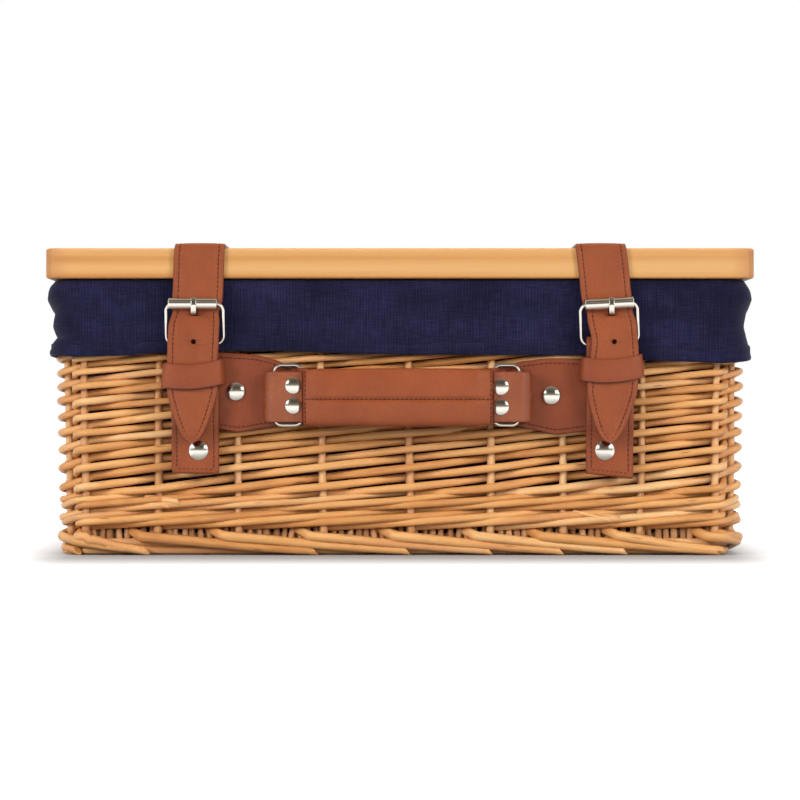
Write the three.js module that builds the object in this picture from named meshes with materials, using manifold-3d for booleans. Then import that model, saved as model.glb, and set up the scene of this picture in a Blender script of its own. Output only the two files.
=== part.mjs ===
// Wicker hamper with a pine lid, a cloth lining, two buckled leather straps and a front handle.
// Millimetres, +Z up. X runs along the front, and the front faces -Y.
// The origin is the centre of the bottom face of the whole object's box.

import * as THREE from 'three';
import { mergeVertices } from 'three/addons/utils/BufferGeometryUtils.js';
import Module from 'manifold-3d';

const wasm = await Module();
wasm.setup();

// Clearances, and how far a cut runs past the surface that it opens
const gap = 0.3;
const barPlay = 0.4;
const prongPlay = 0.5;
const cutPast = 10;

// Woven basket, from the floor up
const basketHalfWidth = 203.5;
const basketHalfDepth = 148.5;
const basketTaper = 3.5;
const basketCornerRadius = 18;
const cornerSteps = 4;
const wallThickness = 13;
const footHeight = 16;
const waleHeight = 20;
const sidingHeight = 114;
const rimHeight = 12.6;
const basePanelThickness = 9;
const baseRibCount = 40;
const baseRibDepth = 2.4;

// Relief of the weave. A randed row stands in front of each stake and falls behind it above and
// below, and both faces lie at the rods' own thickness midway between stakes.
const frontBays = 8;
const sideBays = 5;
const randedRows = 12;
const randedDepth = 4.8;
const bayDepth = 4.4;
const weaveCornerDepth = 2.5;
const waleRows = 3;
const waleDepth = 2.2;
const sidePanelInset = 0.5;

// Cloth lining: a bag inside, turned over the rim into a cuff outside
const clothThickness = 1;
const bagSlack = 1.6;
const bagCornerRadius = 3;
const cuffThickness = 3;
const cuffSideSwell = 0.9;
const cuffFoldDepth = 0.7;
const cuffFoldSpacing = 78;
const cuffPointSpacing = 20;
const cuffShoulder = 1.2;
const hemTuck = 1;
const cuffDrop = 48;
const cuffNotchInner = 55;
const cuffNotchOuter = 147;
const cuffNotchRoom = 3;
const cuffDentRoom = 1;

// Pine lid: four boards edge to edge, held by two battens underneath
const lidOverhangSide = 2.6;
const lidOverhangFront = 3.5;
const lidThickness = 18;
const lidCornerRadius = 7;
const lidEdgeRadius = 1.5;
const boardCount = 4;
const battenX = 78;
const battenWidth = 34;
const battenThickness = 10;
const battenInset = 33;
const screwForward = 8;
const screwHeadRadius = 4.2;
const screwHeadDepth = 2.6;
const screwShankRadius = 2;
const screwLength = 22;

// Strap leather
const strapWidth = 30;
const strapThickness = 2.4;
const strapCornerRadius = 3;
const strapTipZ = 67;
const strapTipLength = 25;
const spareHoleRadius = 2.1;
const spareHoleZ = 126.6;
const prongSlotWidth = 5;
const prongSlotBottomZ = 133.4;
const prongSlotTopZ = 143.2;
const driftEndAboveHeel = 15;
const driftStartBelowHeel = 10;
const tackSetback = 78;
const tackRearInset = 42;
const tackLength = 12;

// Strap anchor, folded round the buckle's heel bar and riveted to the wicker
const anchorWidth = 28;
const anchorLayer = 2;
const anchorBottomZ = 48.5;
const anchorCornerRadius = 3;
const eyeCornerRadius = 1;
const anchorStepZ = 70;
const anchorStepHeight = 4;
const strapRivetZ = 62.5;

// Buckle
const heelZ = 126;
const rollerZ = 149.2;
const buckleWireRadius = 1.3;
const buckleWidth = 36.1;
const buckleTopCorner = 2.4;
const buckleHeelCorner = 3;
const rollerRadius = 3.55;
const rollerLength = 29;
const prongWidth = 3.5;
const prongThickness = 2;
const prongEyeWall = 1.2;

// Keeper loop
const keeperWidth = 39.2;
const keeperHeight = 18.8;
const keeperBottomZ = 99.2;
const keeperLayer = 1.5;
const keeperFrontRadius = 4;
const keeperBackRadius = 2.5;

// Handle
const handleX = -1.2;
const handleZ = 93.8;
const handlePivotHalf = 56.2;
const ringReach = 16.8;
const ringHeight = 39;
const ringWireRadius = 1.3;
const ringCornerRadius = 3;
const handleLayer = 2;
const tabHeight = 29.3;
const tabFoldReach = 4.6;
const tabRivetInset = 11;
const tabRivetSpacing = 11.8;
const tabRivetLift = 1;
const gripHeight = 34.3;
const gripThickness = 12;
const gripCornerRadius = 5.5;
const sleeveThickness = 2;
const coreInset = 1;
const handleAnchorOuterHeight = 46.6;
const handleAnchorRise = 3.5;
const handleAnchorShoulder = 33;
const handleAnchorUnderlap = 9;

// Domed rivets
const bigRivetRadius = 5.5;
const bigRivetHeight = 3.8;
const handleRivetRadius = 5.2;
const smallRivetRadius = 4.75;
const smallRivetHeight = 2;
const tackRadius = 4;
const tackHeight = 1.8;
const rivetShankRadius = 1.7;
const washerRadius = 6;
const washerThickness = 1;

// Rear leather, which is the lid's hinge
const rearAnchorBottomZ = 68;
const rearRivetZ = 84;
const rearBendTopZ = 118;
const rearBendBottomZ = 102;

// The two straps and the two ends of the handle don't lie quite alike. Each strap meets the lid
// and ends in its tip a little to one side of its buckle.
const strapSpacing = 244.4;
const strapCentreX = 1;
const leftLidDrift = 2.9;
const rightLidDrift = -4.2;
const leftTipDrift = 1.6;
const rightTipDrift = -0.6;
const leftHandleRivetReach = 38.4;
const rightHandleRivetReach = 33.7;
const handleRivetRise = 2.2;

function sideOf(name, hand, lidDrift, tipDrift, rivetReach) {
  const buckleX = strapCentreX + (hand * strapSpacing) / 2;
  return {
    name,
    hand,
    buckleX,
    lidX: buckleX + lidDrift,
    tipX: buckleX + tipDrift,
    handleRivetX: handleX + hand * (handlePivotHalf + rivetReach),
  };
}
const sides = [
  sideOf('left', -1, leftLidDrift, leftTipDrift, leftHandleRivetReach),
  sideOf('right', 1, rightLidDrift, rightTipDrift, rightHandleRivetReach),
];

// Sizes, heights and depths that follow from the ones above
const lidWidth = 2 * (basketHalfWidth + cuffThickness + cuffSideSwell + lidOverhangSide);
const lidHalfDepth = basketHalfDepth + cuffThickness + lidOverhangFront;
const lidDepth = 2 * lidHalfDepth;
const handleRivetZ = handleZ + handleRivetRise;
const waleBottomZ = footHeight;
const sidingBottomZ = waleBottomZ + waleHeight;
const rimBottomZ = sidingBottomZ + sidingHeight;
const rimTopZ = rimBottomZ + rimHeight;
const liningTopZ = rimTopZ + gap + clothThickness;
const lidBottomZ = liningTopZ + gap;
const lidTopZ = lidBottomZ + lidThickness;
const hemZ = lidBottomZ - cuffDrop;

// Front stack, from the wicker outwards
const handleAnchorBackY = -basketHalfDepth - gap;
const handleAnchorFrontY = handleAnchorBackY - handleLayer;
const keeperBackY = handleAnchorFrontY - gap;
const anchorBackY = keeperBackY - keeperLayer - gap;
const anchorFrontY = anchorBackY - 2 * anchorLayer;
const heelY = (anchorBackY + anchorFrontY) / 2;
const heelEyeRadius = buckleWireRadius + barPlay;
const heelEyeOuter = heelEyeRadius + anchorLayer;
const strapOverHeelY = heelY - heelEyeOuter - gap - strapThickness / 2;
const strapOverAnchorY = anchorFrontY - gap - strapThickness / 2;
const strapOnLidY = -lidHalfDepth - gap - strapThickness / 2;
const strapOnLidZ = lidTopZ + gap + strapThickness / 2;
const rollerY = strapOnLidY - strapThickness / 2 - gap - rollerRadius;
const keeperFrontY = strapOverHeelY - strapThickness / 2 - gap - keeperLayer;

// Handle stack, from the wicker outwards
const ringEyeRadius = ringWireRadius + barPlay;
const ringEyeOuter = ringEyeRadius + handleLayer;
const ringY = handleAnchorFrontY - gap - ringEyeOuter;
const tabBackY = ringY - ringEyeOuter - gap;
const tabFrontY = tabBackY - 2 * handleLayer;
const gripFrontY = tabBackY - gripThickness;
const handleAnchorBottomZ = handleZ + handleAnchorRise - handleAnchorOuterHeight / 2;
const handleAnchorTopZ = handleAnchorBottomZ + handleAnchorOuterHeight;

// Rear stack, and the hinge line on the outside of the rear leather
const rearStrapY = lidHalfDepth + gap + strapThickness / 2;
const hingeY = rearStrapY + strapThickness / 2;
const hingeZ = lidBottomZ;
const rearAnchorY = basketHalfDepth + gap + strapThickness / 2;

// Materials
function finish(color, roughness, metalness) {
  return { color, roughness, metalness };
}
const finishes = {
  willow: finish(0xdea564, 0.55, 0),
  pine: finish(0xe8b676, 0.5, 0),
  cloth: finish(0x28284f, 0.95, 0),
  leather: finish(0xa0583e, 0.5, 0),
  nickel: finish(0xc9c7c2, 0.2, 1),
  steel: finish(0x9a9a98, 0.35, 1),
};

// Solids

function signedVolume(positions, indices) {
  let volume = 0;
  const a = new THREE.Vector3();
  const b = new THREE.Vector3();
  const c = new THREE.Vector3();
  for (let i = 0; i < indices.length; i += 3) {
    a.fromArray(positions, 3 * indices[i]);
    b.fromArray(positions, 3 * indices[i + 1]);
    c.fromArray(positions, 3 * indices[i + 2]);
    volume += a.dot(b.cross(c)) / 6;
  }
  return volume;
}

// A closed geometry as a manifold solid, with its faces turned outwards
function solidOf(geometry) {
  const bare = geometry.clone();
  bare.deleteAttribute('normal');
  bare.deleteAttribute('uv');
  const merged = mergeVertices(bare, 1e-4);
  const positions = merged.attributes.position.array;
  const source = merged.index.array;
  const indices = [];
  for (let i = 0; i < source.length; i += 3) {
    const [a, b, c] = [source[i], source[i + 1], source[i + 2]];
    if (a !== b && b !== c && c !== a) {
      indices.push(a, b, c);
    }
  }
  if (signedVolume(positions, indices) < 0) {
    for (let i = 0; i < indices.length; i += 3) {
      [indices[i + 1], indices[i + 2]] = [indices[i + 2], indices[i + 1]];
    }
  }
  const mesh = new wasm.Mesh({
    numProp: 3,
    vertProperties: new Float32Array(positions),
    triVerts: new Uint32Array(indices),
  });
  return new wasm.Manifold(mesh);
}

function geometryOf(solid) {
  const mesh = solid.getMesh();
  const geometry = new THREE.BufferGeometry();
  geometry.setAttribute('position', new THREE.BufferAttribute(mesh.vertProperties, 3));
  geometry.setIndex(new THREE.BufferAttribute(mesh.triVerts, 1));
  return geometry;
}

function box(x0, x1, y0, y1, z0, z1) {
  const geometry = new THREE.BoxGeometry(x1 - x0, y1 - y0, z1 - z0);
  geometry.translate((x0 + x1) / 2, (y0 + y1) / 2, (z0 + z1) / 2);
  return solidOf(geometry);
}

// A round bar from one point to another
function bar(from, to, radius, facets) {
  const start = new THREE.Vector3(...from);
  const end = new THREE.Vector3(...to);
  const along = end.clone().sub(start);
  const geometry = new THREE.CylinderGeometry(radius, radius, along.length(), facets);
  const turn = new THREE.Quaternion();
  turn.setFromUnitVectors(new THREE.Vector3(0, 1, 0), along.clone().normalize());
  geometry.applyQuaternion(turn);
  geometry.translate(...start.add(end).multiplyScalar(0.5).toArray());
  return solidOf(geometry);
}

// A profile drawn in Y and Z, carried across X
function acrossX(points, x0, x1) {
  const shape = new THREE.Shape(points.map(([y, z]) => new THREE.Vector2(y, z)));
  const geometry = new THREE.ExtrudeGeometry(shape, { depth: x1 - x0, bevelEnabled: false });
  const axes = new THREE.Matrix4().set(0, 0, 1, x0, 1, 0, 0, 0, 0, 1, 0, 0, 0, 0, 0, 1);
  return solidOf(geometry.applyMatrix4(axes));
}

// An outline drawn in X and Z, carried across Y
function acrossY(points, y0, y1) {
  const shape = new THREE.Shape(points.map(([x, z]) => new THREE.Vector2(x, z)));
  const geometry = new THREE.ExtrudeGeometry(shape, { depth: y1 - y0, bevelEnabled: false });
  const axes = new THREE.Matrix4().set(1, 0, 0, 0, 0, 0, -1, y1, 0, 1, 0, 0, 0, 0, 0, 1);
  return solidOf(geometry.applyMatrix4(axes));
}

// A profile drawn in X and Y, carried up Z
function upZ(points, z0, z1) {
  const shape = new THREE.Shape(points.map(([x, y]) => new THREE.Vector2(x, y)));
  const geometry = new THREE.ExtrudeGeometry(shape, { depth: z1 - z0, bevelEnabled: false });
  geometry.translate(0, 0, z0);
  return solidOf(geometry);
}

// Points of a rectangle whose four corners have their own radii, anticlockwise from the lower right
function roundedRectangle(x0, x1, y0, y1, radii, arcSteps) {
  const corners = [
    [x1 - radii[0], y0 + radii[0], -90],
    [x1 - radii[1], y1 - radii[1], 0],
    [x0 + radii[2], y1 - radii[2], 90],
    [x0 + radii[3], y0 + radii[3], 180],
  ];
  const points = [];
  corners.forEach(([cx, cy, startAngle], corner) => {
    for (let step = 0; step <= arcSteps; step += 1) {
      const angle = THREE.MathUtils.degToRad(startAngle + (90 * step) / arcSteps);
      const radius = radii[corner];
      points.push([cx + radius * Math.cos(angle), cy + radius * Math.sin(angle)]);
    }
  });
  return points;
}

function evenCorners(radius) {
  return [radius, radius, radius, radius];
}

// Loops of equal count joined into one skin. A ring joins its last loop to its first,
// and otherwise both ends are capped.
function skin(loops, isRing) {
  const count = loops[0].length;
  const positions = loops.flat(2);
  const indices = [];
  const bands = isRing ? loops.length : loops.length - 1;
  for (let band = 0; band < bands; band += 1) {
    const low = band * count;
    const high = ((band + 1) % loops.length) * count;
    for (let i = 0; i < count; i += 1) {
      const next = (i + 1) % count;
      indices.push(low + i, low + next, high + next);
      indices.push(low + i, high + next, high + i);
    }
  }
  if (!isRing) {
    const last = (loops.length - 1) * count;
    for (let i = 1; i < count - 1; i += 1) {
      indices.push(0, i + 1, i);
      indices.push(last, last + i, last + i + 1);
    }
  }
  const geometry = new THREE.BufferGeometry();
  geometry.setAttribute('position', new THREE.Float32BufferAttribute(positions, 3));
  geometry.setIndex(indices);
  return solidOf(geometry);
}

// A round wire bent into a closed flat loop, whose plane has the given normal
function wireLoop(path, normal, radius, facets) {
  const count = path.length;
  const loops = path.map((point, i) => {
    const before = path[(i + count - 1) % count];
    const after = path[(i + 1) % count];
    const incoming = point.clone().sub(before).normalize();
    const outgoing = after.clone().sub(point).normalize();
    const tangent = incoming.clone().add(outgoing).normalize();
    const side = tangent.clone().cross(normal).normalize();
    const mitre = 1 / Math.max(tangent.dot(outgoing), 0.5);
    const loop = [];
    for (let facet = 0; facet < facets; facet += 1) {
      const angle = (2 * Math.PI * (facet + 0.5)) / facets;
      const across = side.clone().multiplyScalar(radius * mitre * Math.cos(angle));
      const out = normal.clone().multiplyScalar(radius * Math.sin(angle));
      loop.push(point.clone().add(across).add(out).toArray());
    }
    return loop;
  });
  return skin(loops, true);
}

// A flat strap carried along a path of [x, y, z, halfWidth] stations. Its width lies along X.
function ribbon(stations, thickness) {
  const loops = stations.map(([x, y, z, halfWidth], i) => {
    const before = stations[Math.max(i - 1, 0)];
    const after = stations[Math.min(i + 1, stations.length - 1)];
    const run = Math.hypot(after[1] - before[1], after[2] - before[2]);
    const ny = (after[2] - before[2]) / run;
    const nz = -(after[1] - before[1]) / run;
    const half = thickness / 2;
    return [
      [x - halfWidth, y - half * ny, z - half * nz],
      [x + halfWidth, y - half * ny, z - half * nz],
      [x + halfWidth, y + half * ny, z + half * nz],
      [x - halfWidth, y + half * ny, z + half * nz],
    ];
  });
  return skin(loops, false);
}

// Points of an arc in Y and Z, with angles in degrees from +Y towards +Z
function arcYZ(centreY, centreZ, radius, fromAngle, toAngle, steps) {
  const points = [];
  for (let step = 0; step <= steps; step += 1) {
    const angle = THREE.MathUtils.degToRad(fromAngle + ((toAngle - fromAngle) * step) / steps);
    points.push([centreY + radius * Math.cos(angle), centreZ + radius * Math.sin(angle)]);
  }
  return points;
}

// Points of a smooth curve through a few [y, z] points
function smoothYZ(points, steps) {
  const curve = new THREE.SplineCurve(points.map(([y, z]) => new THREE.Vector2(y, z)));
  return curve.getSpacedPoints(steps).map((point) => [point.x, point.y]);
}

// A domed rivet on its own axis, head towards +Y, with its seat at y = 0
function rivet(headRadius, headHeight, shankLength, footRadius, footThickness) {
  const profile = [];
  const domeSteps = 5;
  for (let step = 0; step <= domeSteps; step += 1) {
    const angle = (Math.PI / 2) * (step / domeSteps);
    profile.push(new THREE.Vector2(headRadius * Math.sin(angle), headHeight * Math.cos(angle)));
  }
  profile.push(new THREE.Vector2(rivetShankRadius, 0));
  profile.push(new THREE.Vector2(rivetShankRadius, -shankLength));
  if (footThickness > 0) {
    profile.push(new THREE.Vector2(footRadius, -shankLength));
    profile.push(new THREE.Vector2(footRadius, -shankLength - footThickness));
  }
  profile.push(new THREE.Vector2(0, -shankLength - footThickness));
  return new THREE.LatheGeometry(profile, 16);
}

// Basket

function halfSizesAt(z) {
  const drawIn = basketTaper * (1 - z / rimTopZ);
  return [basketHalfWidth - drawIn, basketHalfDepth - drawIn];
}

function basketLoop(z, inset, radius) {
  const [halfX, halfY] = halfSizesAt(z);
  const x = halfX - inset;
  const y = halfY - inset;
  const outline = roundedRectangle(-x, x, -y, y, evenCorners(radius), cornerSteps);
  return outline.map(([px, py]) => [px, py, z]);
}

function wovenRing(z0, z1) {
  const innerRadius = basketCornerRadius - wallThickness;
  return skin([
    basketLoop(z0, 0, basketCornerRadius),
    basketLoop(z1, 0, basketCornerRadius),
    basketLoop(z1, wallThickness, innerRadius),
    basketLoop(z0, wallThickness, innerRadius),
  ], true);
}

// Round the basket at a height, with a point at each stake, one midway between stakes and the
// corners' arcs. Each point is pushed outwards by the amount that its kind of place is given.
function wovenLoop(z, inset, radius, push) {
  const [halfX, halfY] = halfSizesAt(z);
  const points = [];
  for (let side = 0; side < 4; side += 1) {
    const isFrontOrBack = side % 2 === 0;
    const reach = (isFrontOrBack ? halfY : halfX) - inset;
    const run = (isFrontOrBack ? halfX : halfY) - inset - radius;
    const bays = isFrontOrBack ? frontBays : sideBays;
    const facing = (side - 1) * (Math.PI / 2);
    const [outX, outY] = [Math.cos(facing), Math.sin(facing)];
    for (let step = 0; step <= 2 * bays; step += 1) {
      const along = run * (step / bays - 1);
      const out = reach + (step % 2 === 0 ? push.stake : push.bay);
      points.push([outX * out - outY * along, outY * out + outX * along, z]);
    }
    for (let step = 1; step < cornerSteps; step += 1) {
      const angle = facing + (step / cornerSteps) * (Math.PI / 2);
      const arc = radius + push.corner;
      const [centreX, centreY] = [outX * (reach - radius) - outY * run, outY * (reach - radius) + outX * run];
      points.push([centreX + arc * Math.cos(angle), centreY + arc * Math.sin(angle), z]);
    }
  }
  return points;
}

// A woven wall in even rows, each a ridge outside where its rods pass in front of the stakes.
// Randed rods go behind the next stake, so the inside has its ridges between those outside.
function wovenWall(z0, z1, rows, relief) {
  const innerRadius = basketCornerRadius - wallThickness;
  const outer = [];
  const inner = [];
  for (let level = 0; level <= 2 * rows; level += 1) {
    const z = z0 + ((z1 - z0) * level) / (2 * rows);
    const [outside, inside] = level % 2 === 1 ? [relief.ridge, relief.valley] : [relief.valley, relief.ridge];
    outer.push(wovenLoop(z, 0, basketCornerRadius,
      { stake: -outside.stake, bay: -outside.bay, corner: -outside.corner }));
    inner.push(wovenLoop(z, wallThickness, innerRadius, inside));
  }
  return skin([...outer, ...inner.reverse()], true);
}

const randedRelief = {
  ridge: { stake: 0, bay: bayDepth, corner: weaveCornerDepth },
  valley: { stake: randedDepth, bay: bayDepth, corner: weaveCornerDepth },
};
const waleRelief = {
  ridge: { stake: 0, bay: 0, corner: 0 },
  valley: { stake: waleDepth, bay: waleDepth, corner: waleDepth },
};

// Holes through the woven wall for the rivets' shanks and the washers' seats
function rivetHoles() {
  const holes = [];
  const reach = basketHalfDepth + cutPast;
  const holeRadius = rivetShankRadius + gap;
  for (const side of sides) {
    holes.push(bar([side.buckleX, -reach, strapRivetZ], [side.buckleX, 0, strapRivetZ], holeRadius, 12));
    holes.push(bar([side.handleRivetX, -reach, handleRivetZ], [side.handleRivetX, 0, handleRivetZ],
      holeRadius, 12));
    holes.push(bar([side.lidX, 0, rearRivetZ], [side.lidX, reach, rearRivetZ], holeRadius, 12));
  }
  return holes;
}

const sidingTopZ = rimBottomZ - gap;
const siding = rivetHoles().reduce((wall, hole) => wall.subtract(hole),
  wovenWall(sidingBottomZ, sidingTopZ, randedRows, randedRelief));
const wallLineY = basketHalfDepth - basketTaper - wallThickness - sidePanelInset;
const wallLineX = basketHalfWidth - 2 * wallThickness;
const far = 2 * basketHalfWidth;

function basePanel() {
  const [halfX, halfY] = halfSizesAt(footHeight);
  const x = halfX - wallThickness - gap;
  const y = halfY - wallThickness - gap;
  const radius = basketCornerRadius - wallThickness;
  const topZ = footHeight - gap;
  const bottomZ = topZ - basePanelThickness;
  const outline = upZ(roundedRectangle(-x, x, -y, y, evenCorners(radius), 3), bottomZ, topZ);
  const upper = [];
  const lower = [];
  for (let edge = 0; edge <= 2 * baseRibCount; edge += 1) {
    const ribX = x * (edge / baseRibCount - 1);
    const sink = edge % 2 === 1 ? 0 : baseRibDepth;
    upper.push([ribX, topZ - sink]);
    lower.push([ribX, bottomZ + sink]);
  }
  return outline.intersect(acrossY([...lower, ...upper.reverse()], -y, y));
}

// Lining

// Points round the rim, more of them along the straight sides than an arc needs
function rimOutline(halfX, halfY, radius) {
  const corners = roundedRectangle(-halfX, halfX, -halfY, halfY, evenCorners(radius), cornerSteps);
  const points = [];
  corners.forEach((point, i) => {
    const next = corners[(i + 1) % corners.length];
    const span = Math.hypot(next[0] - point[0], next[1] - point[1]);
    const parts = span > 4 * radius ? Math.round(span / cuffPointSpacing) : 1;
    for (let part = 0; part < parts; part += 1) {
      const share = part / parts;
      points.push([
        point[0] + (next[0] - point[0]) * share,
        point[1] + (next[1] - point[1]) * share,
      ]);
    }
  });
  return points;
}

// How far the cuff's outer face stands proud at a place along the rim: soft slanting folds that
// die out at the hem and at the rim
function cuffFold(x, y, z) {
  const along = x + y;
  const drop = (liningTopZ - z) / cuffDrop;
  const swell = Math.sin(Math.PI * Math.min(Math.max(drop, 0), 1));
  const broad = Math.sin((2 * Math.PI * along) / cuffFoldSpacing + 1.7 * drop);
  const fine = Math.sin((2 * Math.PI * along) / (cuffFoldSpacing * 0.43) - 2.6 * drop);
  return cuffFoldDepth * swell * (0.7 * broad + 0.3 * fine);
}

function lining() {
  const bagInset = wallThickness + bagSlack;
  const outerX = basketHalfWidth + cuffThickness + cuffSideSwell;
  const outerY = basketHalfDepth + cuffThickness;
  const outer = rimOutline(outerX, outerY, basketCornerRadius);
  const cornerX = outerX - basketCornerRadius;
  const cornerY = outerY - basketCornerRadius;
  // The cuff's outer face at one height, pushed out and in by its folds
  const cuffLoop = (z, tuck) => outer.map(([x, y]) => {
    const fold = cuffFold(x, y, z) - tuck;
    const foldX = Math.abs(x) > cornerX + basketCornerRadius / 2 ? Math.sign(x) * fold : 0;
    const foldY = Math.abs(y) > cornerY + basketCornerRadius / 2 ? Math.sign(y) * fold : 0;
    return [x + foldX, y + foldY, z];
  });
  // The same points drawn in to a smaller rectangle
  const shell = (halfX, halfY, radius, z) => outer.map(([x, y]) => {
    const flatX = THREE.MathUtils.clamp(x, -cornerX, cornerX);
    const flatY = THREE.MathUtils.clamp(y, -cornerY, cornerY);
    const shrink = radius / basketCornerRadius;
    return [
      (flatX * (halfX - radius)) / cornerX + (x - flatX) * shrink,
      (flatY * (halfY - radius)) / cornerY + (y - flatY) * shrink,
      z,
    ];
  });
  const rows = 5;
  const loops = [];
  for (let row = 0; row <= rows; row += 1) {
    const z = hemZ + ((rimTopZ - hemZ) * row) / rows;
    loops.push(cuffLoop(z, row === 0 ? hemTuck : 0));
  }
  const innerX = basketHalfWidth - bagInset;
  const innerY = basketHalfDepth - bagInset;
  const underX = basketHalfWidth + gap;
  const underY = basketHalfDepth + gap;
  const rimUnderZ = liningTopZ - clothThickness;
  const floorZ = footHeight;
  const [lowX, lowY] = halfSizesAt(floorZ).map((half) => half - bagInset);
  loops.push(shell(outerX - cuffShoulder, outerY - cuffShoulder, basketCornerRadius, liningTopZ));
  loops.push(shell(innerX - clothThickness, innerY - clothThickness, bagCornerRadius, liningTopZ));
  loops.push(shell(lowX - clothThickness, lowY - clothThickness, bagCornerRadius, floorZ));
  loops.push(shell(lowX, lowY, bagCornerRadius, floorZ));
  loops.push(shell(innerX, innerY, bagCornerRadius, rimUnderZ));
  loops.push(shell(underX, underY, basketCornerRadius, rimUnderZ));
  loops.push(shell(underX, underY, basketCornerRadius, hemZ));
  const wall = skin(loops, true);
  const floorX = lowX - clothThickness / 2;
  const floorY = lowY - clothThickness / 2;
  const floor = upZ(
    roundedRectangle(-floorX, floorX, -floorY, floorY, evenCorners(bagCornerRadius), 3),
    floorZ, floorZ + clothThickness);
  let cloth = wall.add(floor);
  // The cuff is held up where the handle's leather and the keepers lie against the wicker,
  // and pressed in behind the leather eye round each heel bar
  const notchTopZ = Math.max(keeperBottomZ + keeperHeight + cuffNotchRoom, handleAnchorTopZ + gap);
  for (const side of sides) {
    const [near, away] = [side.hand * cuffNotchInner, side.hand * cuffNotchOuter];
    cloth = cloth.subtract(box(Math.min(near, away), Math.max(near, away),
      -basketHalfDepth - cutPast, -basketHalfDepth, hemZ - cutPast, notchTopZ));
    const dentHalf = buckleWidth / 2 + cuffDentRoom;
    cloth = cloth.subtract(bar([side.buckleX - dentHalf, heelY, heelZ],
      [side.buckleX + dentHalf, heelY, heelZ], heelEyeOuter + 2 * gap, 16));
  }
  return cloth;
}

// Lid

function lidBlank() {
  const inset = lidEdgeRadius;
  const outline = roundedRectangle(-lidWidth / 2 + inset, lidWidth / 2 - inset,
    -lidHalfDepth + inset, lidHalfDepth - inset, evenCorners(lidCornerRadius - inset), 3);
  const shape = new THREE.Shape(outline.map(([x, y]) => new THREE.Vector2(x, y)));
  const geometry = new THREE.ExtrudeGeometry(shape, {
    depth: lidThickness - 2 * lidEdgeRadius,
    bevelEnabled: true,
    bevelSegments: 3,
    bevelSize: lidEdgeRadius,
    bevelThickness: lidEdgeRadius,
  });
  geometry.translate(0, 0, lidBottomZ + lidEdgeRadius);
  return solidOf(geometry);
}

const tackYs = [-lidHalfDepth + tackSetback, lidHalfDepth - tackRearInset];
const boardDepth = lidDepth / boardCount;
const battenTopZ = lidBottomZ - gap;
const battenBottomZ = battenTopZ - battenThickness;
const battenHalfLength = lidHalfDepth - battenInset;
const screwY = lidHalfDepth - boardDepth / 2 - screwForward;

function screwGeometry(play) {
  const head = screwHeadRadius + play;
  const shank = screwShankRadius + play;
  const profile = [
    new THREE.Vector2(0, 0),
    new THREE.Vector2(head, 0),
    new THREE.Vector2(shank, screwHeadDepth + play),
    new THREE.Vector2(shank, screwLength + play),
    new THREE.Vector2(0, screwLength + play),
  ];
  const geometry = new THREE.LatheGeometry(profile, 12);
  geometry.rotateX(Math.PI / 2);
  return geometry;
}

function screwAt(x, y, play) {
  const geometry = screwGeometry(play);
  geometry.translate(x, y, battenBottomZ);
  return solidOf(geometry);
}

function tackHole(x, y) {
  return bar([x, y, lidTopZ - tackLength - gap], [x, y, lidTopZ + cutPast], rivetShankRadius + gap, 12);
}

function boards() {
  let blank = lidBlank();
  for (const x of [-battenX, battenX]) {
    for (const y of [-screwY, screwY]) {
      blank = blank.subtract(screwAt(x, y, gap));
    }
  }
  for (const side of sides) {
    for (const y of tackYs) {
      blank = blank.subtract(tackHole(side.lidX, y));
    }
  }
  const pieces = [];
  for (let i = 0; i < boardCount; i += 1) {
    const front = -lidHalfDepth + i * boardDepth + (i > 0 ? gap / 2 : -cutPast);
    const back = -lidHalfDepth + (i + 1) * boardDepth - (i < boardCount - 1 ? gap / 2 : -cutPast);
    const slice = box(-lidWidth, lidWidth, front, back, lidBottomZ - cutPast, lidTopZ + cutPast);
    pieces.push(blank.intersect(slice));
  }
  return pieces;
}

function batten(x) {
  const half = battenWidth / 2;
  const plain = box(x - half, x + half, -battenHalfLength, battenHalfLength,
    battenBottomZ, battenTopZ);
  return plain.subtract(screwAt(x, -screwY, gap)).subtract(screwAt(x, screwY, gap));
}

// Straps

// The strap's centreline round the lid's front edge, from the lid's top to its front face
const cornerY = strapOnLidY + strapCornerRadius;
const cornerZ = strapOnLidZ - strapCornerRadius;
const cornerTurn = 135;
const seamTurn = THREE.MathUtils.radToDeg(gap / strapCornerRadius);

function overStrap(side) {
  const half = strapWidth / 2;
  const frontArc = arcYZ(cornerY, cornerZ, strapCornerRadius, cornerTurn - seamTurn, 90, 3);
  const rearArc = arcYZ(-cornerY, cornerZ, strapCornerRadius, 90, 0, 5);
  const path = [...frontArc, ...rearArc, [rearStrapY, hingeZ + gap]];
  const strap = ribbon(path.map(([y, z]) => [side.lidX, y, z, half]), strapThickness);
  return tackYs.reduce((leather, y) => leather.subtract(tackHole(side.lidX, y)), strap);
}

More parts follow.
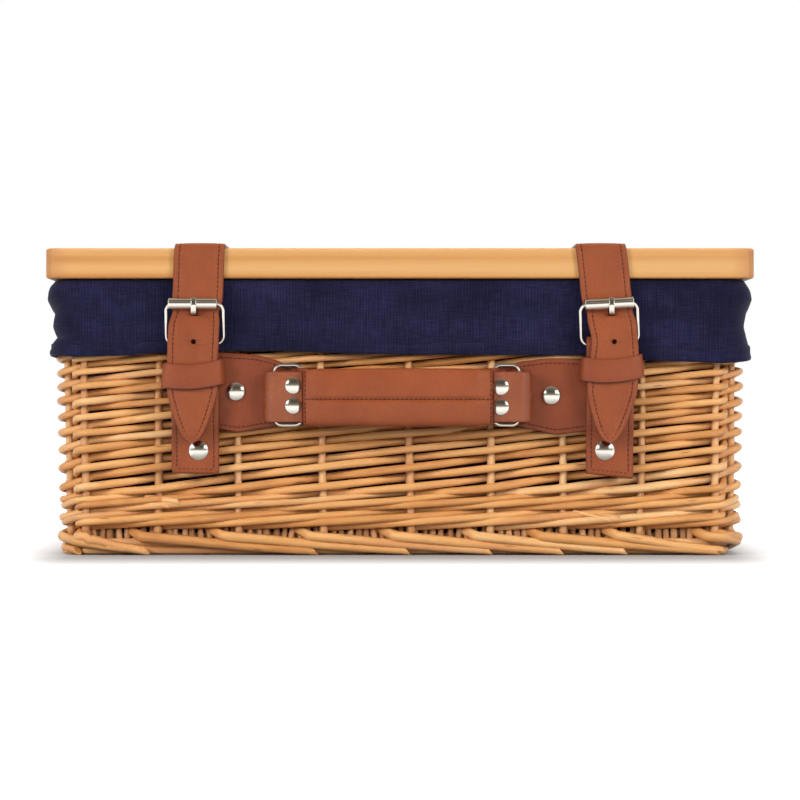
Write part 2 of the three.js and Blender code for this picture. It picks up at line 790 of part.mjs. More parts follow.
// The centreline of the buckled end: behind the roller, over the heel bar, down over the anchor
function tailPath() {
  const bend = arcYZ(cornerY, cornerZ, strapCornerRadius, cornerTurn + seamTurn, 180, 3);
  const [forwards, settle] = [strapOverHeelY - strapOnLidY, strapOverAnchorY - strapOverHeelY];
  const run = smoothYZ([
    [strapOnLidY, rollerZ + 2.25 * rollerRadius],
    [strapOnLidY + 0.06 * forwards, rollerZ],
    [strapOnLidY + 0.36 * forwards, rollerZ - 1.83 * rollerRadius],
    [strapOnLidY + 0.78 * forwards, heelZ + 3 * heelEyeOuter],
    [strapOverHeelY, heelZ + 0.8 * heelEyeOuter],
    [strapOverHeelY, heelZ - heelEyeOuter],
    [strapOverHeelY + 0.24 * settle, keeperBottomZ + 0.64 * keeperHeight],
    [strapOverHeelY + 0.65 * settle, keeperBottomZ + 0.05 * keeperHeight],
    [strapOverAnchorY, keeperBottomZ - keeperHeight / 2],
    [strapOverAnchorY, strapTipZ],
  ], 30);
  return [...bend, ...run];
}

function tailCentreX(side, z) {
  const toBuckle = THREE.MathUtils.smoothstep(lidTopZ - z, 0, lidTopZ - heelZ - driftEndAboveHeel);
  const toTip = THREE.MathUtils.smoothstep(heelZ - z, driftStartBelowHeel, heelZ - strapTipZ);
  const atBuckle = THREE.MathUtils.lerp(side.lidX, side.buckleX, toBuckle);
  return THREE.MathUtils.lerp(atBuckle, side.tipX, toTip);
}

// The end is cut to a rounded point
function tailHalfWidth(z) {
  const share = THREE.MathUtils.clamp((z - strapTipZ) / strapTipLength, 0, 1);
  return (strapWidth / 2) * Math.max(Math.sqrt(1 - (1 - share) ** 2) * share ** 0.25, 0.09);
}

function strapTail(side) {
  const stations = tailPath().map(([y, z]) => [tailCentreX(side, z), y, z, tailHalfWidth(z)]);
  const slotHalf = prongSlotWidth / 2;
  const slot = box(side.buckleX - slotHalf, side.buckleX + slotHalf,
    strapOverHeelY - cutPast, strapOnLidY + cutPast, prongSlotBottomZ, prongSlotTopZ);
  const hole = bar([side.buckleX, strapOverHeelY - cutPast, spareHoleZ],
    [side.buckleX, strapOnLidY + cutPast, spareHoleZ], spareHoleRadius, 12);
  return ribbon(stations, strapThickness).subtract(slot).subtract(hole);
}

function strapAnchor(side) {
  const x0 = side.buckleX - anchorWidth / 2;
  const x1 = side.buckleX + anchorWidth / 2;
  const eyeLineZ = heelZ - heelEyeOuter * 0.7;
  const lowBackY = -basketHalfDepth - gap;
  const lowFrontY = lowBackY - 2 * anchorLayer;
  const stepTopZ = anchorStepZ + anchorStepHeight;
  const legs = acrossX([
    [anchorFrontY, eyeLineZ],
    [anchorFrontY, stepTopZ],
    [lowFrontY, anchorStepZ],
    [lowFrontY, anchorBottomZ],
    [lowBackY, anchorBottomZ],
    [lowBackY, anchorStepZ - anchorStepHeight / 2],
    [anchorBackY, stepTopZ - anchorStepHeight / 2],
    [anchorBackY, eyeLineZ],
  ], x0, x1);
  const eye = bar([x0, heelY, heelZ], [x1, heelY, heelZ], heelEyeOuter, 20);
  const bore = bar([x0 - cutPast, heelY, heelZ], [x1 + cutPast, heelY, heelZ], heelEyeRadius, 16);
  const outline = roundedRectangle(x0, x1, anchorBottomZ, heelZ + 2 * heelEyeOuter,
    [anchorCornerRadius, eyeCornerRadius, eyeCornerRadius, anchorCornerRadius], 3);
  const slotHalf = prongWidth / 2 + prongPlay;
  const slot = box(side.buckleX - slotHalf, side.buckleX + slotHalf,
    heelY - cutPast, heelY + cutPast, heelZ - heelEyeOuter - gap, heelZ + cutPast);
  const hole = bar([side.buckleX, anchorFrontY - cutPast, strapRivetZ],
    [side.buckleX, 0, strapRivetZ], rivetShankRadius + gap, 12);
  return legs.add(eye).subtract(bore).intersect(acrossY(outline, heelY - cutPast, heelY + cutPast))
    .subtract(slot).subtract(hole);
}

function keeper(side) {
  const x0 = side.buckleX - keeperWidth / 2;
  const x1 = side.buckleX + keeperWidth / 2;
  const radii = [keeperFrontRadius, keeperBackRadius, keeperBackRadius, keeperFrontRadius];
  const outer = roundedRectangle(x0, x1, keeperFrontY, keeperBackY, radii, 3);
  const inner = roundedRectangle(x0 + keeperLayer, x1 - keeperLayer,
    keeperFrontY + keeperLayer, keeperBackY - keeperLayer,
    radii.map((radius) => radius - keeperLayer), 3);
  const topZ = keeperBottomZ + keeperHeight;
  return upZ(outer, keeperBottomZ, topZ)
    .subtract(upZ(inner, keeperBottomZ - cutPast, topZ + cutPast));
}

// Buckle, drawn in a plane that leans forwards from the heel bar to the roller

const buckleLength = Math.hypot(rollerY - heelY, rollerZ - heelZ);
const buckleUp = new THREE.Vector3(0, (rollerY - heelY) / buckleLength, (rollerZ - heelZ) / buckleLength);
const buckleNormal = new THREE.Vector3(1, 0, 0).cross(buckleUp);

function buckleFrame(side) {
  const half = buckleWidth / 2 - buckleWireRadius;
  const radii = [buckleHeelCorner, buckleTopCorner, buckleTopCorner, buckleHeelCorner];
  const outline = roundedRectangle(-half, half, 0, buckleLength, radii, 5);
  const path = outline.map(([across, up]) => new THREE.Vector3(side.buckleX + across, heelY, heelZ)
    .addScaledVector(buckleUp, up));
  return wireLoop(path, buckleNormal, buckleWireRadius, 10);
}

function roller(side) {
  const x0 = side.buckleX - rollerLength / 2;
  const x1 = side.buckleX + rollerLength / 2;
  const body = bar([x0, rollerY, rollerZ], [x1, rollerY, rollerZ], rollerRadius, 24);
  const bore = bar([x0 - cutPast, rollerY, rollerZ], [x1 + cutPast, rollerY, rollerZ],
    buckleWireRadius + barPlay, 16);
  return body.subtract(bore);
}

function prong(side) {
  const x0 = side.buckleX - prongWidth / 2;
  const x1 = side.buckleX + prongWidth / 2;
  const eyeInner = buckleWireRadius + barPlay;
  const clear = rollerRadius + gap + prongThickness / 2;
  const centreline = smoothYZ([
    [heelY - 0.2 * heelEyeOuter, heelZ + 0.7 * heelEyeOuter],
    [heelY - 0.54 * heelEyeOuter, heelZ + 2.3 * heelEyeOuter],
    [heelY - 1.43 * heelEyeOuter, heelZ + 3.95 * heelEyeOuter],
    [rollerY - 1.06 * rollerRadius, rollerZ - 1.07 * rollerRadius],
    [rollerY - clear - 0.14 * rollerRadius, rollerZ],
    [rollerY - clear + 0.03 * rollerRadius, rollerZ + rollerRadius],
  ], 12);
  const strip = ribbon(centreline.map(([y, z]) => [side.buckleX, y, z, prongWidth / 2]),
    prongThickness);
  const eye = bar([x0, heelY, heelZ], [x1, heelY, heelZ], eyeInner + prongEyeWall, 20);
  const bore = bar([x0 - cutPast, heelY, heelZ], [x1 + cutPast, heelY, heelZ], eyeInner, 16);
  return strip.add(eye).subtract(bore);
}

// Handle

const ringHalfHeight = ringHeight / 2 - ringWireRadius;

function pivotX(side) {
  return handleX + side.hand * handlePivotHalf;
}

function outerBarX(side) {
  return handleX + side.hand * (handlePivotHalf + ringReach);
}

function ring(side) {
  const xs = [pivotX(side), outerBarX(side)];
  const outline = roundedRectangle(Math.min(...xs), Math.max(...xs),
    handleZ - ringHalfHeight, handleZ + ringHalfHeight, evenCorners(ringCornerRadius), 4);
  const path = outline.map(([x, z]) => new THREE.Vector3(x, ringY, z));
  return wireLoop(path, new THREE.Vector3(0, -1, 0), ringWireRadius, 10);
}

// Points given for the right hand, mirrored for the left
function mirrored(side, points) {
  const placed = points.map(([x, other]) => [handleX + side.hand * (x - handleX), other]);
  return side.hand > 0 ? placed : placed.reverse();
}

function handleAnchor(side) {
  const inner = handleX + handlePivotHalf;
  const outer = handleX + Math.abs(side.buckleX - handleX) + handleAnchorUnderlap;
  const z0 = handleZ - tabHeight / 2;
  const z1 = handleZ + tabHeight / 2;
  const [lowZ, highZ] = [handleAnchorBottomZ, handleAnchorTopZ];
  const flat = upZ(mirrored(side, [
    [inner + 0.54 * ringEyeOuter, handleAnchorBackY],
    [inner + 0.4 * ringEyeOuter, handleAnchorFrontY - gap],
    [inner + 0.8 * ringEyeOuter, ringY + 0.27 * ringEyeOuter],
    [inner + 1.67 * ringEyeOuter, handleAnchorFrontY],
    [outer, handleAnchorFrontY],
    [outer, handleAnchorBackY],
  ].reverse()), lowZ, highZ);
  const eye = bar([pivotX(side), ringY, z0], [pivotX(side), ringY, z1], ringEyeOuter, 20);
  const bore = bar([pivotX(side), ringY, lowZ - cutPast], [pivotX(side), ringY, highZ + cutPast],
    ringEyeRadius, 16);
  // It widens from the ring's eye to its outer end, a little more above than below
  const run = handleAnchorShoulder;
  const [drop, rise] = [z0 - lowZ, highZ - z1];
  const outline = acrossY(mirrored(side, [
    [inner - 2 * ringEyeOuter, z0],
    [inner + 0.2 * run, z0],
    [inner + 0.52 * run, z0 - 0.05 * drop],
    [inner + 0.82 * run, z0 - 0.77 * drop],
    [inner + run, lowZ],
    [outer, lowZ],
    [outer, highZ],
    [inner + run, highZ],
    [inner + 0.76 * run, z1 + 0.82 * rise],
    [inner + 0.39 * run, z1 + 0.34 * rise],
    [inner + 0.2 * run, z1],
    [inner - 2 * ringEyeOuter, z1],
  ]), handleAnchorFrontY - cutPast, handleAnchorBackY + cutPast);
  const hole = bar([side.handleRivetX, handleAnchorFrontY - cutPast, handleRivetZ],
    [side.handleRivetX, 0, handleRivetZ], rivetShankRadius + gap, 12);
  return flat.intersect(outline).add(eye).subtract(bore).subtract(hole);
}

function tab(side) {
  const centre = handleX + handlePivotHalf + ringReach;
  const z0 = handleZ - tabHeight / 2;
  const z1 = handleZ + tabHeight / 2;
  const end = handleX + handlePivotHalf + gap;
  const cornerRadius = 2 * handleLayer;
  const fold = centre + tabFoldReach;
  const points = [
    [end, tabBackY],
    [end, tabFrontY],
  ];
  for (let step = 0; step <= 4; step += 1) {
    const angle = (Math.PI / 2) * (step / 4);
    points.push([
      fold - cornerRadius + cornerRadius * Math.sin(angle),
      tabFrontY + cornerRadius - cornerRadius * Math.cos(angle),
    ]);
  }
  points.push([centre + ringEyeOuter, ringY]);
  points.push([centre - ringEyeOuter, ringY]);
  points.push([centre - ringEyeOuter, tabBackY]);
  const block = upZ(mirrored(side, points), z0, z1);
  const x = outerBarX(side);
  const eye = bar([x, ringY, z0], [x, ringY, z1], ringEyeOuter, 20);
  const bore = bar([x, ringY, z0 - cutPast], [x, ringY, z1 + cutPast], ringEyeRadius, 16);
  let leather = block.add(eye).subtract(bore);
  for (const z of tabRivetZs()) {
    leather = leather.subtract(bar([tabRivetX(side), tabFrontY - cutPast, z],
      [tabRivetX(side), tabBackY + cutPast, z], rivetShankRadius + gap, 12));
  }
  return leather;
}

function tabRivetX(side) {
  return outerBarX(side) - side.hand * tabRivetInset;
}

function tabRivetZs() {
  const middleZ = handleZ + tabRivetLift;
  return [middleZ + tabRivetSpacing / 2, middleZ - tabRivetSpacing / 2];
}

const gripHalfLength = handlePivotHalf - 2 * gap;

function gripSection(inset) {
  const z0 = handleZ - gripHeight / 2 + inset;
  const z1 = handleZ + gripHeight / 2 - inset;
  const radius = gripCornerRadius - inset;
  return roundedRectangle(gripFrontY + inset, tabBackY - inset, z0, z1, evenCorners(radius), 4);
}

function gripSleeve() {
  const x0 = handleX - gripHalfLength;
  const x1 = handleX + gripHalfLength;
  return acrossX(gripSection(0), x0, x1)
    .subtract(acrossX(gripSection(sleeveThickness), x0 - cutPast, x1 + cutPast));
}

function gripCore() {
  const half = gripHalfLength - coreInset;
  return acrossX(gripSection(sleeveThickness + gap), handleX - half, handleX + half);
}

// Rear leather

function rearAnchor(side) {
  const path = [[rearStrapY, hingeZ - gap]];
  for (let step = 0; step <= 8; step += 1) {
    const z = THREE.MathUtils.lerp(rearBendTopZ, rearBendBottomZ, step / 8);
    const bend = THREE.MathUtils.smoothstep(-z, -rearBendTopZ, -rearBendBottomZ);
    path.push([THREE.MathUtils.lerp(rearStrapY, rearAnchorY, bend), z]);
  }
  path.push([rearAnchorY, rearAnchorBottomZ]);
  const leather = ribbon(path.map(([y, z]) => [side.lidX, y, z, strapWidth / 2]), strapThickness);
  return leather.subtract(bar([side.lidX, 0, rearRivetZ],
    [side.lidX, rearAnchorY + cutPast, rearRivetZ], rivetShankRadius + gap, 12));
}

// Assembly

const hamper = new THREE.Group();

function place(name, solid, kind) {
  const material = new THREE.MeshStandardMaterial(finishes[kind]);
  const mesh = new THREE.Mesh(geometryOf(solid), material);
  mesh.name = name;
  hamper.add(mesh);
  return mesh;
}

place('base_panel', basePanel(), 'willow');
place('foot_border', wovenRing(0, footHeight - gap), 'willow');
place('wale_band', wovenWall(waleBottomZ, sidingBottomZ - gap, waleRows, waleRelief), 'willow');
place('woven_front', siding.intersect(box(-far, far, -far, -wallLineY, 0, far)), 'willow');
place('woven_back', siding.intersect(box(-far, far, wallLineY, far, 0, far)), 'willow');
place('woven_left', siding.intersect(
  box(-far, -wallLineX, -wallLineY + gap, wallLineY - gap, 0, far)), 'willow');
place('woven_right', siding.intersect(
  box(wallLineX, far, -wallLineY + gap, wallLineY - gap, 0, far)), 'willow');
place('rim_border', wovenRing(rimBottomZ, rimTopZ), 'willow');
place('lining', lining(), 'cloth');

boards().forEach((board, i) => place(`lid_board_${i + 1}`, board, 'pine'));
const battens = [['left', -battenX], ['right', battenX]];
for (const [name, x] of battens) {
  place(`lid_batten_${name}`, batten(x), 'pine');
  place(`batten_screw_${name}_front`, screwAt(x, -screwY, 0), 'steel');
  place(`batten_screw_${name}_rear`, screwAt(x, screwY, 0), 'steel');
}

// A rivet whose head faces the front, the back or up, with its seat at the given place
function placeRivet(name, geometry, x, y, z, facing) {
  const mesh = place(name, solidOf(geometry), 'nickel');
  if (facing === 'front') {
    mesh.rotation.x = Math.PI;
  } else if (facing === 'up') {
    mesh.rotation.x = Math.PI / 2;
  }
  mesh.position.set(x, y, z);
}

for (const side of sides) {
  place(`strap_anchor_${side.name}`, strapAnchor(side), 'leather');
  place(`keeper_${side.name}`, keeper(side), 'leather');
  place(`buckle_frame_${side.name}`, buckleFrame(side), 'nickel');
  place(`buckle_roller_${side.name}`, roller(side), 'nickel');
  place(`buckle_prong_${side.name}`, prong(side), 'nickel');
  place(`over_strap_${side.name}`, overStrap(side), 'leather');
  place(`strap_tail_${side.name}`, strapTail(side), 'leather');
  place(`rear_anchor_${side.name}`, rearAnchor(side), 'leather');
  place(`handle_anchor_${side.name}`, handleAnchor(side), 'leather');
  place(`handle_ring_${side.name}`, ring(side), 'nickel');
  place(`handle_tab_${side.name}`, tab(side), 'leather');

  // Rivets through the wicker, each with its washer against the wall's inner face
  const wallInner = (z) => halfSizesAt(z)[1] - wallThickness - gap;
  const strapSeat = basketHalfDepth + 2 * gap + 2 * anchorLayer;
  const strapRivet = rivet(bigRivetRadius, bigRivetHeight, strapSeat - wallInner(strapRivetZ),
    washerRadius, washerThickness);
  placeRivet(`strap_rivet_${side.name}`, strapRivet, side.buckleX, -strapSeat, strapRivetZ, 'front');
  const handleSeat = -handleAnchorFrontY + gap;
  const handleRivet = rivet(handleRivetRadius, bigRivetHeight, handleSeat - wallInner(handleRivetZ),
    washerRadius, washerThickness);
  placeRivet(`handle_rivet_${side.name}`, handleRivet, side.handleRivetX, -handleSeat,
    handleRivetZ, 'front');
  const rearSeat = rearAnchorY + strapThickness / 2 + gap;
  const rearRivet = rivet(bigRivetRadius, bigRivetHeight, rearSeat - wallInner(rearRivetZ),
    washerRadius, washerThickness);
  placeRivet(`rear_rivet_${side.name}`, rearRivet, side.lidX, rearSeat, rearRivetZ, 'back');

  // Flat rivets through both layers of the handle's tab, and tacks through the strap into the lid
  const tabRivet = rivet(smallRivetRadius, smallRivetHeight, tabBackY - tabFrontY + gap, 0, 0);
  tabRivetZs().forEach((z, i) => placeRivet(`tab_rivet_${side.name}_${i + 1}`, tabRivet,
    tabRivetX(side), tabFrontY - gap, z, 'front'));
  const seatZ = strapOnLidZ + strapThickness / 2 + gap;
  const tack = rivet(tackRadius, tackHeight, seatZ - lidTopZ + tackLength, 0, 0);
  placeRivet(`strap_tack_${side.name}_front`, tack, side.lidX, tackYs[0], seatZ, 'up');
  placeRivet(`strap_tack_${side.name}_rear`, tack, side.lidX, tackYs[1], seatZ, 'up');
}

place('grip_sleeve', gripSleeve(), 'leather');
place('grip_core', gripCore(), 'leather');

// The whole object is centred front to back on its box
hamper.position.y = -(gripFrontY + hingeY) / 2;

export default hamper;
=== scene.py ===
import math
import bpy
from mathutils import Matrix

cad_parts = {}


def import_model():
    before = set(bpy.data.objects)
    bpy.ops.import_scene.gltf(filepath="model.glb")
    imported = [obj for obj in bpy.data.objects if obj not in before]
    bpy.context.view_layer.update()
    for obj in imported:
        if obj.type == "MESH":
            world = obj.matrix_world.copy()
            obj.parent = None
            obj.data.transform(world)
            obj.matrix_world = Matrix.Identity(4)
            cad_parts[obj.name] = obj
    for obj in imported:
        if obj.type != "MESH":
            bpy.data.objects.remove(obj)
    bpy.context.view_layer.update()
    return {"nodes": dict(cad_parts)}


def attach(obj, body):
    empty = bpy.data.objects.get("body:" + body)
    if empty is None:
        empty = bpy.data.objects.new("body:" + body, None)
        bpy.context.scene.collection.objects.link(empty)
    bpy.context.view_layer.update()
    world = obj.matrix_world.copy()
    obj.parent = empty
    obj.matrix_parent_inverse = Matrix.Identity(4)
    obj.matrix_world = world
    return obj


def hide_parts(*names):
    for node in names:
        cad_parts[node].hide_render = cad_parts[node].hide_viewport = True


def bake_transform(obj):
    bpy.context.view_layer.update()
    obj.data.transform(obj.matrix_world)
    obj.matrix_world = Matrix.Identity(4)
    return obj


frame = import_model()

from types import SimpleNamespace as Side

import bpy
import numpy as np
from mathutils import Vector

# Lengths are millimetres, with the front at -Y and the basket centred on the stakes. build() turns
# them into the frame's metres and moves them back by SHIFT_Y.
SHIFT_Y = 6.55
RANDOM = np.random.default_rng(11)
X, Y, Z = np.eye(3)

# Basket
HALF_WIDTH, HALF_DEPTH, TAPER = 203.5, 148.5, 3.5
SIDE_SWELL = 5.0
RIM_TOP, WALL = 162.6, 13.0
STAKE_INSET, GRAIN_APART = 7.0, 977.0
CORNER, CORNER_CUT_X, CORNER_CUT_Y = 5.0, 10.5, 13.5
FRONT_STAKES = [-187.7, -143.2, -96.8, -46.3, 5.3, 53.5, 97.4, 143.2, 188.3]
SIDE_STAKES = [-129.0, -78.0, -26.0, 26.0, 78.0, 129.0]

# Lid and straps. The spare hole is HOLE_IN nearer to the hamper's middle than the strap's middle.
LID_TOP, LID_BOTTOM = 182.2, 164.2
LID_FRONT, HINGE_Y, SPLIT_Y = -155.0, 157.7, 96.0
ON_LID_Y, ON_LID_Z, CORNER_BEND = -156.5, 183.7, 3.0
STRAP_HALF, STRAP_THICK = 15.0, 2.4
TIP_Z, TIP_LENGTH = 67.2, 31.0
HOLE_Z, HOLE_IN = 126.6, 0.3
HEEL_Y, HEEL_Z = -154.9, 126.0
ROLLER_Y, ROLLER_Z, ROLLER_RADIUS = -161.55, 149.2, 3.55
EYE_RADIUS, ANCHOR_THICK = 2.75, 1.95

# Handle
HANDLE_X, HANDLE_Z = -1.2, 93.8
PIVOT_HALF, RING_REACH, RING_Y = 56.2, 16.8, -154.8
TAB_HALF = 15.05
GRIP_LOW, GRIP_HIGH, GRIP_SEAM = -56.8, 54.4, -1.1

# Stitches, and how far over the middle of thin and thick leather their lines run
PITCH, STITCH, THREAD_RADIUS = 2.65, 2.4, 0.31
THIN_SEAM, THICK_SEAM = 0.82, 1.04

# Where the strap's middle runs, at heights from the lid's top down to its tip
STRAP_HEIGHTS = [184.0, 176.0, 165.0, 153.0, 144.0, 136.0, 127.0, 116.0, 102.0, 68.0]
# A keeper is its middle, height, rise, bow, half length and half width
SIDES = {
    "left": Side(
        hand=-1, lid=-118.2, buckle=-121.2, rivet=-97.3, tilt=0.0, roller=-122.3, prong=-121.5, neck=0.0,
        strap=[-118.2, -118.9, -119.1, -119.6, -120.6, -121.7, -122.1, -122.5, -122.6, -122.8],
        rivet_z=97.4, tab_rivet=-62.9, tab_rivet_z=(100.7, 88.9), bar=0.0,
        keeper=(-122.2, 106.1, 1.05, 2.05, 17.9, 7.45), anchor_end=(48.9, 48.3), anchor_rivet=-119.3,
        plate_middle=([-4, 4, 14.8, 26, 39, 49], [1.2, 1.2, 2.5, 3.2, 2.7, 3.9]),
        plate_half=([-4, 3, 9, 14.8, 26, 39, 49], [16.2, 16.4, 17.4, 19.3, 22.0, 23.6, 22.8])),
    "right": Side(
        hand=1, lid=118.6, buckle=124.2, rivet=89.6, tilt=3.0, roller=123.5, prong=124.6, neck=1.4,
        strap=[118.6, 119.6, 120.8, 121.9, 124.0, 125.6, 126.9, 126.4, 125.5, 123.6],
        rivet_z=95.1, tab_rivet=59.4, tab_rivet_z=(100.0, 88.2), bar=-1.4,
        keeper=(125.3, 109.5, 1.0, 2.2, 18.1, 7.0), anchor_end=(48.6, 45.6), anchor_rivet=121.3,
        plate_middle=([-4, 4, 13.5, 29.3, 37.7, 52.4], [1.2, 1.2, 1.9, 1.3, 0.6, 1.2]),
        plate_half=([-4, 3, 9, 13.5, 29.3, 37.7, 52.4], [16.2, 16.4, 17.2, 18.8, 21.8, 23.0, 21.4])),
}


# Shapes

class Shape:
    """Points, faces in arrays of equal length with a finish number and a smooth flag, and marks per point."""

    def __init__(self, points, faces=(), finish=0, marks=None):
        self.points = np.asarray(points, float).reshape(-1, 3)
        self.faces = [(np.asarray(f, np.int64), finish, smooth) for f, smooth in faces]
        self.marks = marks or {}

    def __add__(self, other):
        both = Shape(np.concatenate([self.points, other.points]))
        shift = len(self.points)
        both.faces = self.faces + [(f + shift, finish, smooth) for f, finish, smooth in other.faces]
        for mark in self.marks.keys() & other.marks.keys():
            both.marks[mark] = np.concatenate([self.marks[mark], other.marks[mark]])
        return both


def build(name, shape, *finishes, corner_uv=None):
    """The shape as an object at the origin, in the frame's metres."""
    mesh = bpy.data.meshes.new(name)
    places = shape.points * 0.001 + SHIFT_Y * 0.001 * Y
    faces, numbers, smooth = zip(*shape.faces)
    each = [len(f) for f in faces]
    corners = np.concatenate([f.ravel() for f in faces])
    lengths = np.repeat([f.shape[1] for f in faces], each)
    mesh.vertices.add(len(places))
    mesh.vertices.foreach_set("co", places.ravel())
    mesh.loops.add(len(corners))
    mesh.loops.foreach_set("vertex_index", corners.astype(np.int32))
    mesh.polygons.add(len(lengths))
    mesh.polygons.foreach_set("loop_start", (np.cumsum(lengths) - lengths).astype(np.int32))
    mesh.polygons.foreach_set("use_smooth", np.repeat(smooth, each))
    mesh.polygons.foreach_set("material_index", np.repeat(numbers, each).astype(np.int32))
    for mark, values in shape.marks.items():
        kind, field = ("FLOAT", "value") if values.ndim == 1 else ("FLOAT_VECTOR", "vector")
        layer = mesh.attributes.new(mark, kind, "POINT")
        layer.data.foreach_set(field, values.astype(np.float32).ravel())
    if corner_uv is not None:
        mesh.uv_layers.new(name="cloth")
        mesh.uv_layers["cloth"].data.foreach_set("uv", corner_uv.astype(np.float32).ravel())
    for material in finishes:
        mesh.materials.append(material)
    mesh.update(calc_edges=True)
    mesh.validate()
    made = bpy.data.objects.new(name, mesh)
    bpy.context.scene.collection.objects.link(made)
    return made


def near(value, centre, width):
    """A bell round a centre: e to the power of minus ((value - centre) / width)^2."""
    return np.exp(-(((value - centre) / width) ** 2))


def step(value, start, end):
    """0 before the start, 1 past the end, and 3 s^2 - 2 s^3 for the share s of the way between."""
    share = np.clip((value - start) / (end - start), 0, 1)
    return share * share * (3 - 2 * share)


def unit(vectors):
    return vectors / np.maximum(np.linalg.norm(vectors, axis=-1, keepdims=True), 1e-9)


def columns(*parts):
    """The parts side by side along a new last axis, each spread to the same shape."""
    return np.stack(np.broadcast_arrays(*parts), -1)


def walked(points):
    """The length along a line at each of its points."""
    return np.append(0.0, np.cumsum(np.linalg.norm(np.diff(points, axis=0), axis=1)))


def line_at(places, along, values):
    """What a line holds at other places along it."""
    return np.stack([np.interp(places, along, column) for column in values.T], -1)


def headings(lines, closed=False):
    """The direction along lines whose points follow each other on the last axis but one."""
    if closed:
        return unit(np.roll(lines, -1, -2) - np.roll(lines, 1, -2))
    return unit(np.gradient(lines, axis=-2))


def angles(sides):
    return 2 * np.pi * np.arange(sides) / sides


def circle(sides, first, second):
    """Directions round a circle: cos a first + sin a second."""
    turn = angles(sides)[:, None]
    return np.cos(turn) * first[..., None, :] + np.sin(turn) * second[..., None, :]


def arc(centre, radius, start, end, count):
    """Places on a circle in a plane, from one angle in degrees to another."""
    turn = np.radians(np.linspace(start, end, count))
    return centre + radius * columns(np.cos(turn), np.sin(turn))


def grid_faces(rows, across, closed_rows=False, closed_columns=True):
    """Quads between neighbouring rows and columns of points numbered row by row."""
    i, j = np.indices((rows - 1 + closed_rows, across - 1 + closed_columns))
    here, below = i * across, (i + 1) % rows * across
    after = (j + 1) % across
    return columns(here + j, here + after, below + after, below + j).reshape(-1, 4)


def tubes(paths, radii, outward, tone=None, sides=8, cut=0.0, closed=False):
    """Round rods. Each place on a path carries a ring r (cos a N + sin a B), where N is the outward
    direction made square to the path and B = T x N. cut slants the last ring by that many radii."""
    count, stations = paths.shape[:2]
    radii = np.broadcast_to(radii, (count, stations))
    along = headings(paths, closed)
    out = unit(outward - (outward * along).sum(-1, keepdims=True) * along)
    side = np.cross(along, out)
    ring = radii[..., None, None] * circle(sides, out, side)
    points = paths[:, :, None] + ring
    if cut:
        slant = (ring[:, -1] * side[:, -1, None]).sum(-1, keepdims=True)
        points[:, -1] += cut * slant * along[:, -1, None]
    steps = np.linalg.norm(np.diff(paths, axis=1), axis=-1)
    length = np.concatenate([np.zeros((count, 1)), np.cumsum(steps, 1)], 1)
    # Each rod is cut from its own stretch of the grain
    grain = columns(length[..., None] + GRAIN_APART * np.arange(count)[:, None, None],
                    radii[..., None] * np.cos(angles(sides)), radii[..., None] * np.sin(angles(sides)))
    tone = RANDOM.random(count) if tone is None else tone
    first = (np.arange(count) * stations * sides)[:, None]
    faces = [((grid_faces(stations, sides, closed) + first[:, None]).reshape(-1, 4), True)]
    if not closed:
        ends = first + np.arange(sides)
        faces += [(ends[:, ::-1], False), (ends + (stations - 1) * sides, False)]
    marks = {"grain": grain.reshape(-1, 3), "tone": np.repeat(tone, stations * sides)}
    return Shape(points, faces, marks=marks)


def smooth_path(knots, spacing):
    """A Hermite curve through the knots, its slopes taken from their neighbours by chord length,
    then walked at even steps."""
    knots = np.asarray(knots, float)
    chord = walked(knots)
    slope = np.gradient(knots, chord, axis=0)
    t = np.linspace(0, chord[-1], 40 * len(knots))
    k = np.clip(np.searchsorted(chord, t, side="right") - 1, 0, len(knots) - 2)
    gap = (chord[k + 1] - chord[k])[:, None]
    u = (t - chord[k])[:, None] / gap
    fine = ((2 * u**3 - 3 * u**2 + 1) * knots[k] + (u**3 - 2 * u**2 + u) * gap * slope[k]
            + (3 * u**2 - 2 * u**3) * knots[k + 1] + (u**3 - u**2) * gap * slope[k + 1])
    return even_path(fine, spacing)


def even_path(points, spacing):
    """The same line walked at even steps of about the given spacing."""
    along = walked(points)
    places = np.linspace(0, along[-1], max(int(round(along[-1] / spacing)), 2) + 1)
    return line_at(places, along, points)


def band_section(groove_inset, groove, crown):
    """The band's section, walked from the middle of its face over one edge, the back and the other edge:
    side, distance in from the edge, share of the half thickness, lift and edge mark."""
    skive = 0.95
    half = [(0, 0, 1, crown, 0), (1, groove_inset + 3.4, 1, crown * 0.7, 0)]
    if groove:
        half += [(1, groove_inset + 0.8, 1, crown * 0.25, 0), (1, groove_inset, 1, -groove, 0.15),
                 (1, groove_inset - 0.8, 1, 0, 0)]
    half += [(1, skive, 1, 0, 0.25)]
    half += [(1, skive * (1 - np.cos(turn)), np.sin(turn), 0, 1) for turn in np.radians([52, 18, -18, -52])]
    half = np.array(half + [(1, skive, -1, 0, 0.3), (0, 0, -1, 0, 0)])
    return np.concatenate([half * [-1, 1, 1, 1, 1], half[-2:0:-1]])


def face_out(path, across, closed=False):
    """The direction out of a band's face, T x across."""
    return unit(np.cross(headings(path, closed), across))


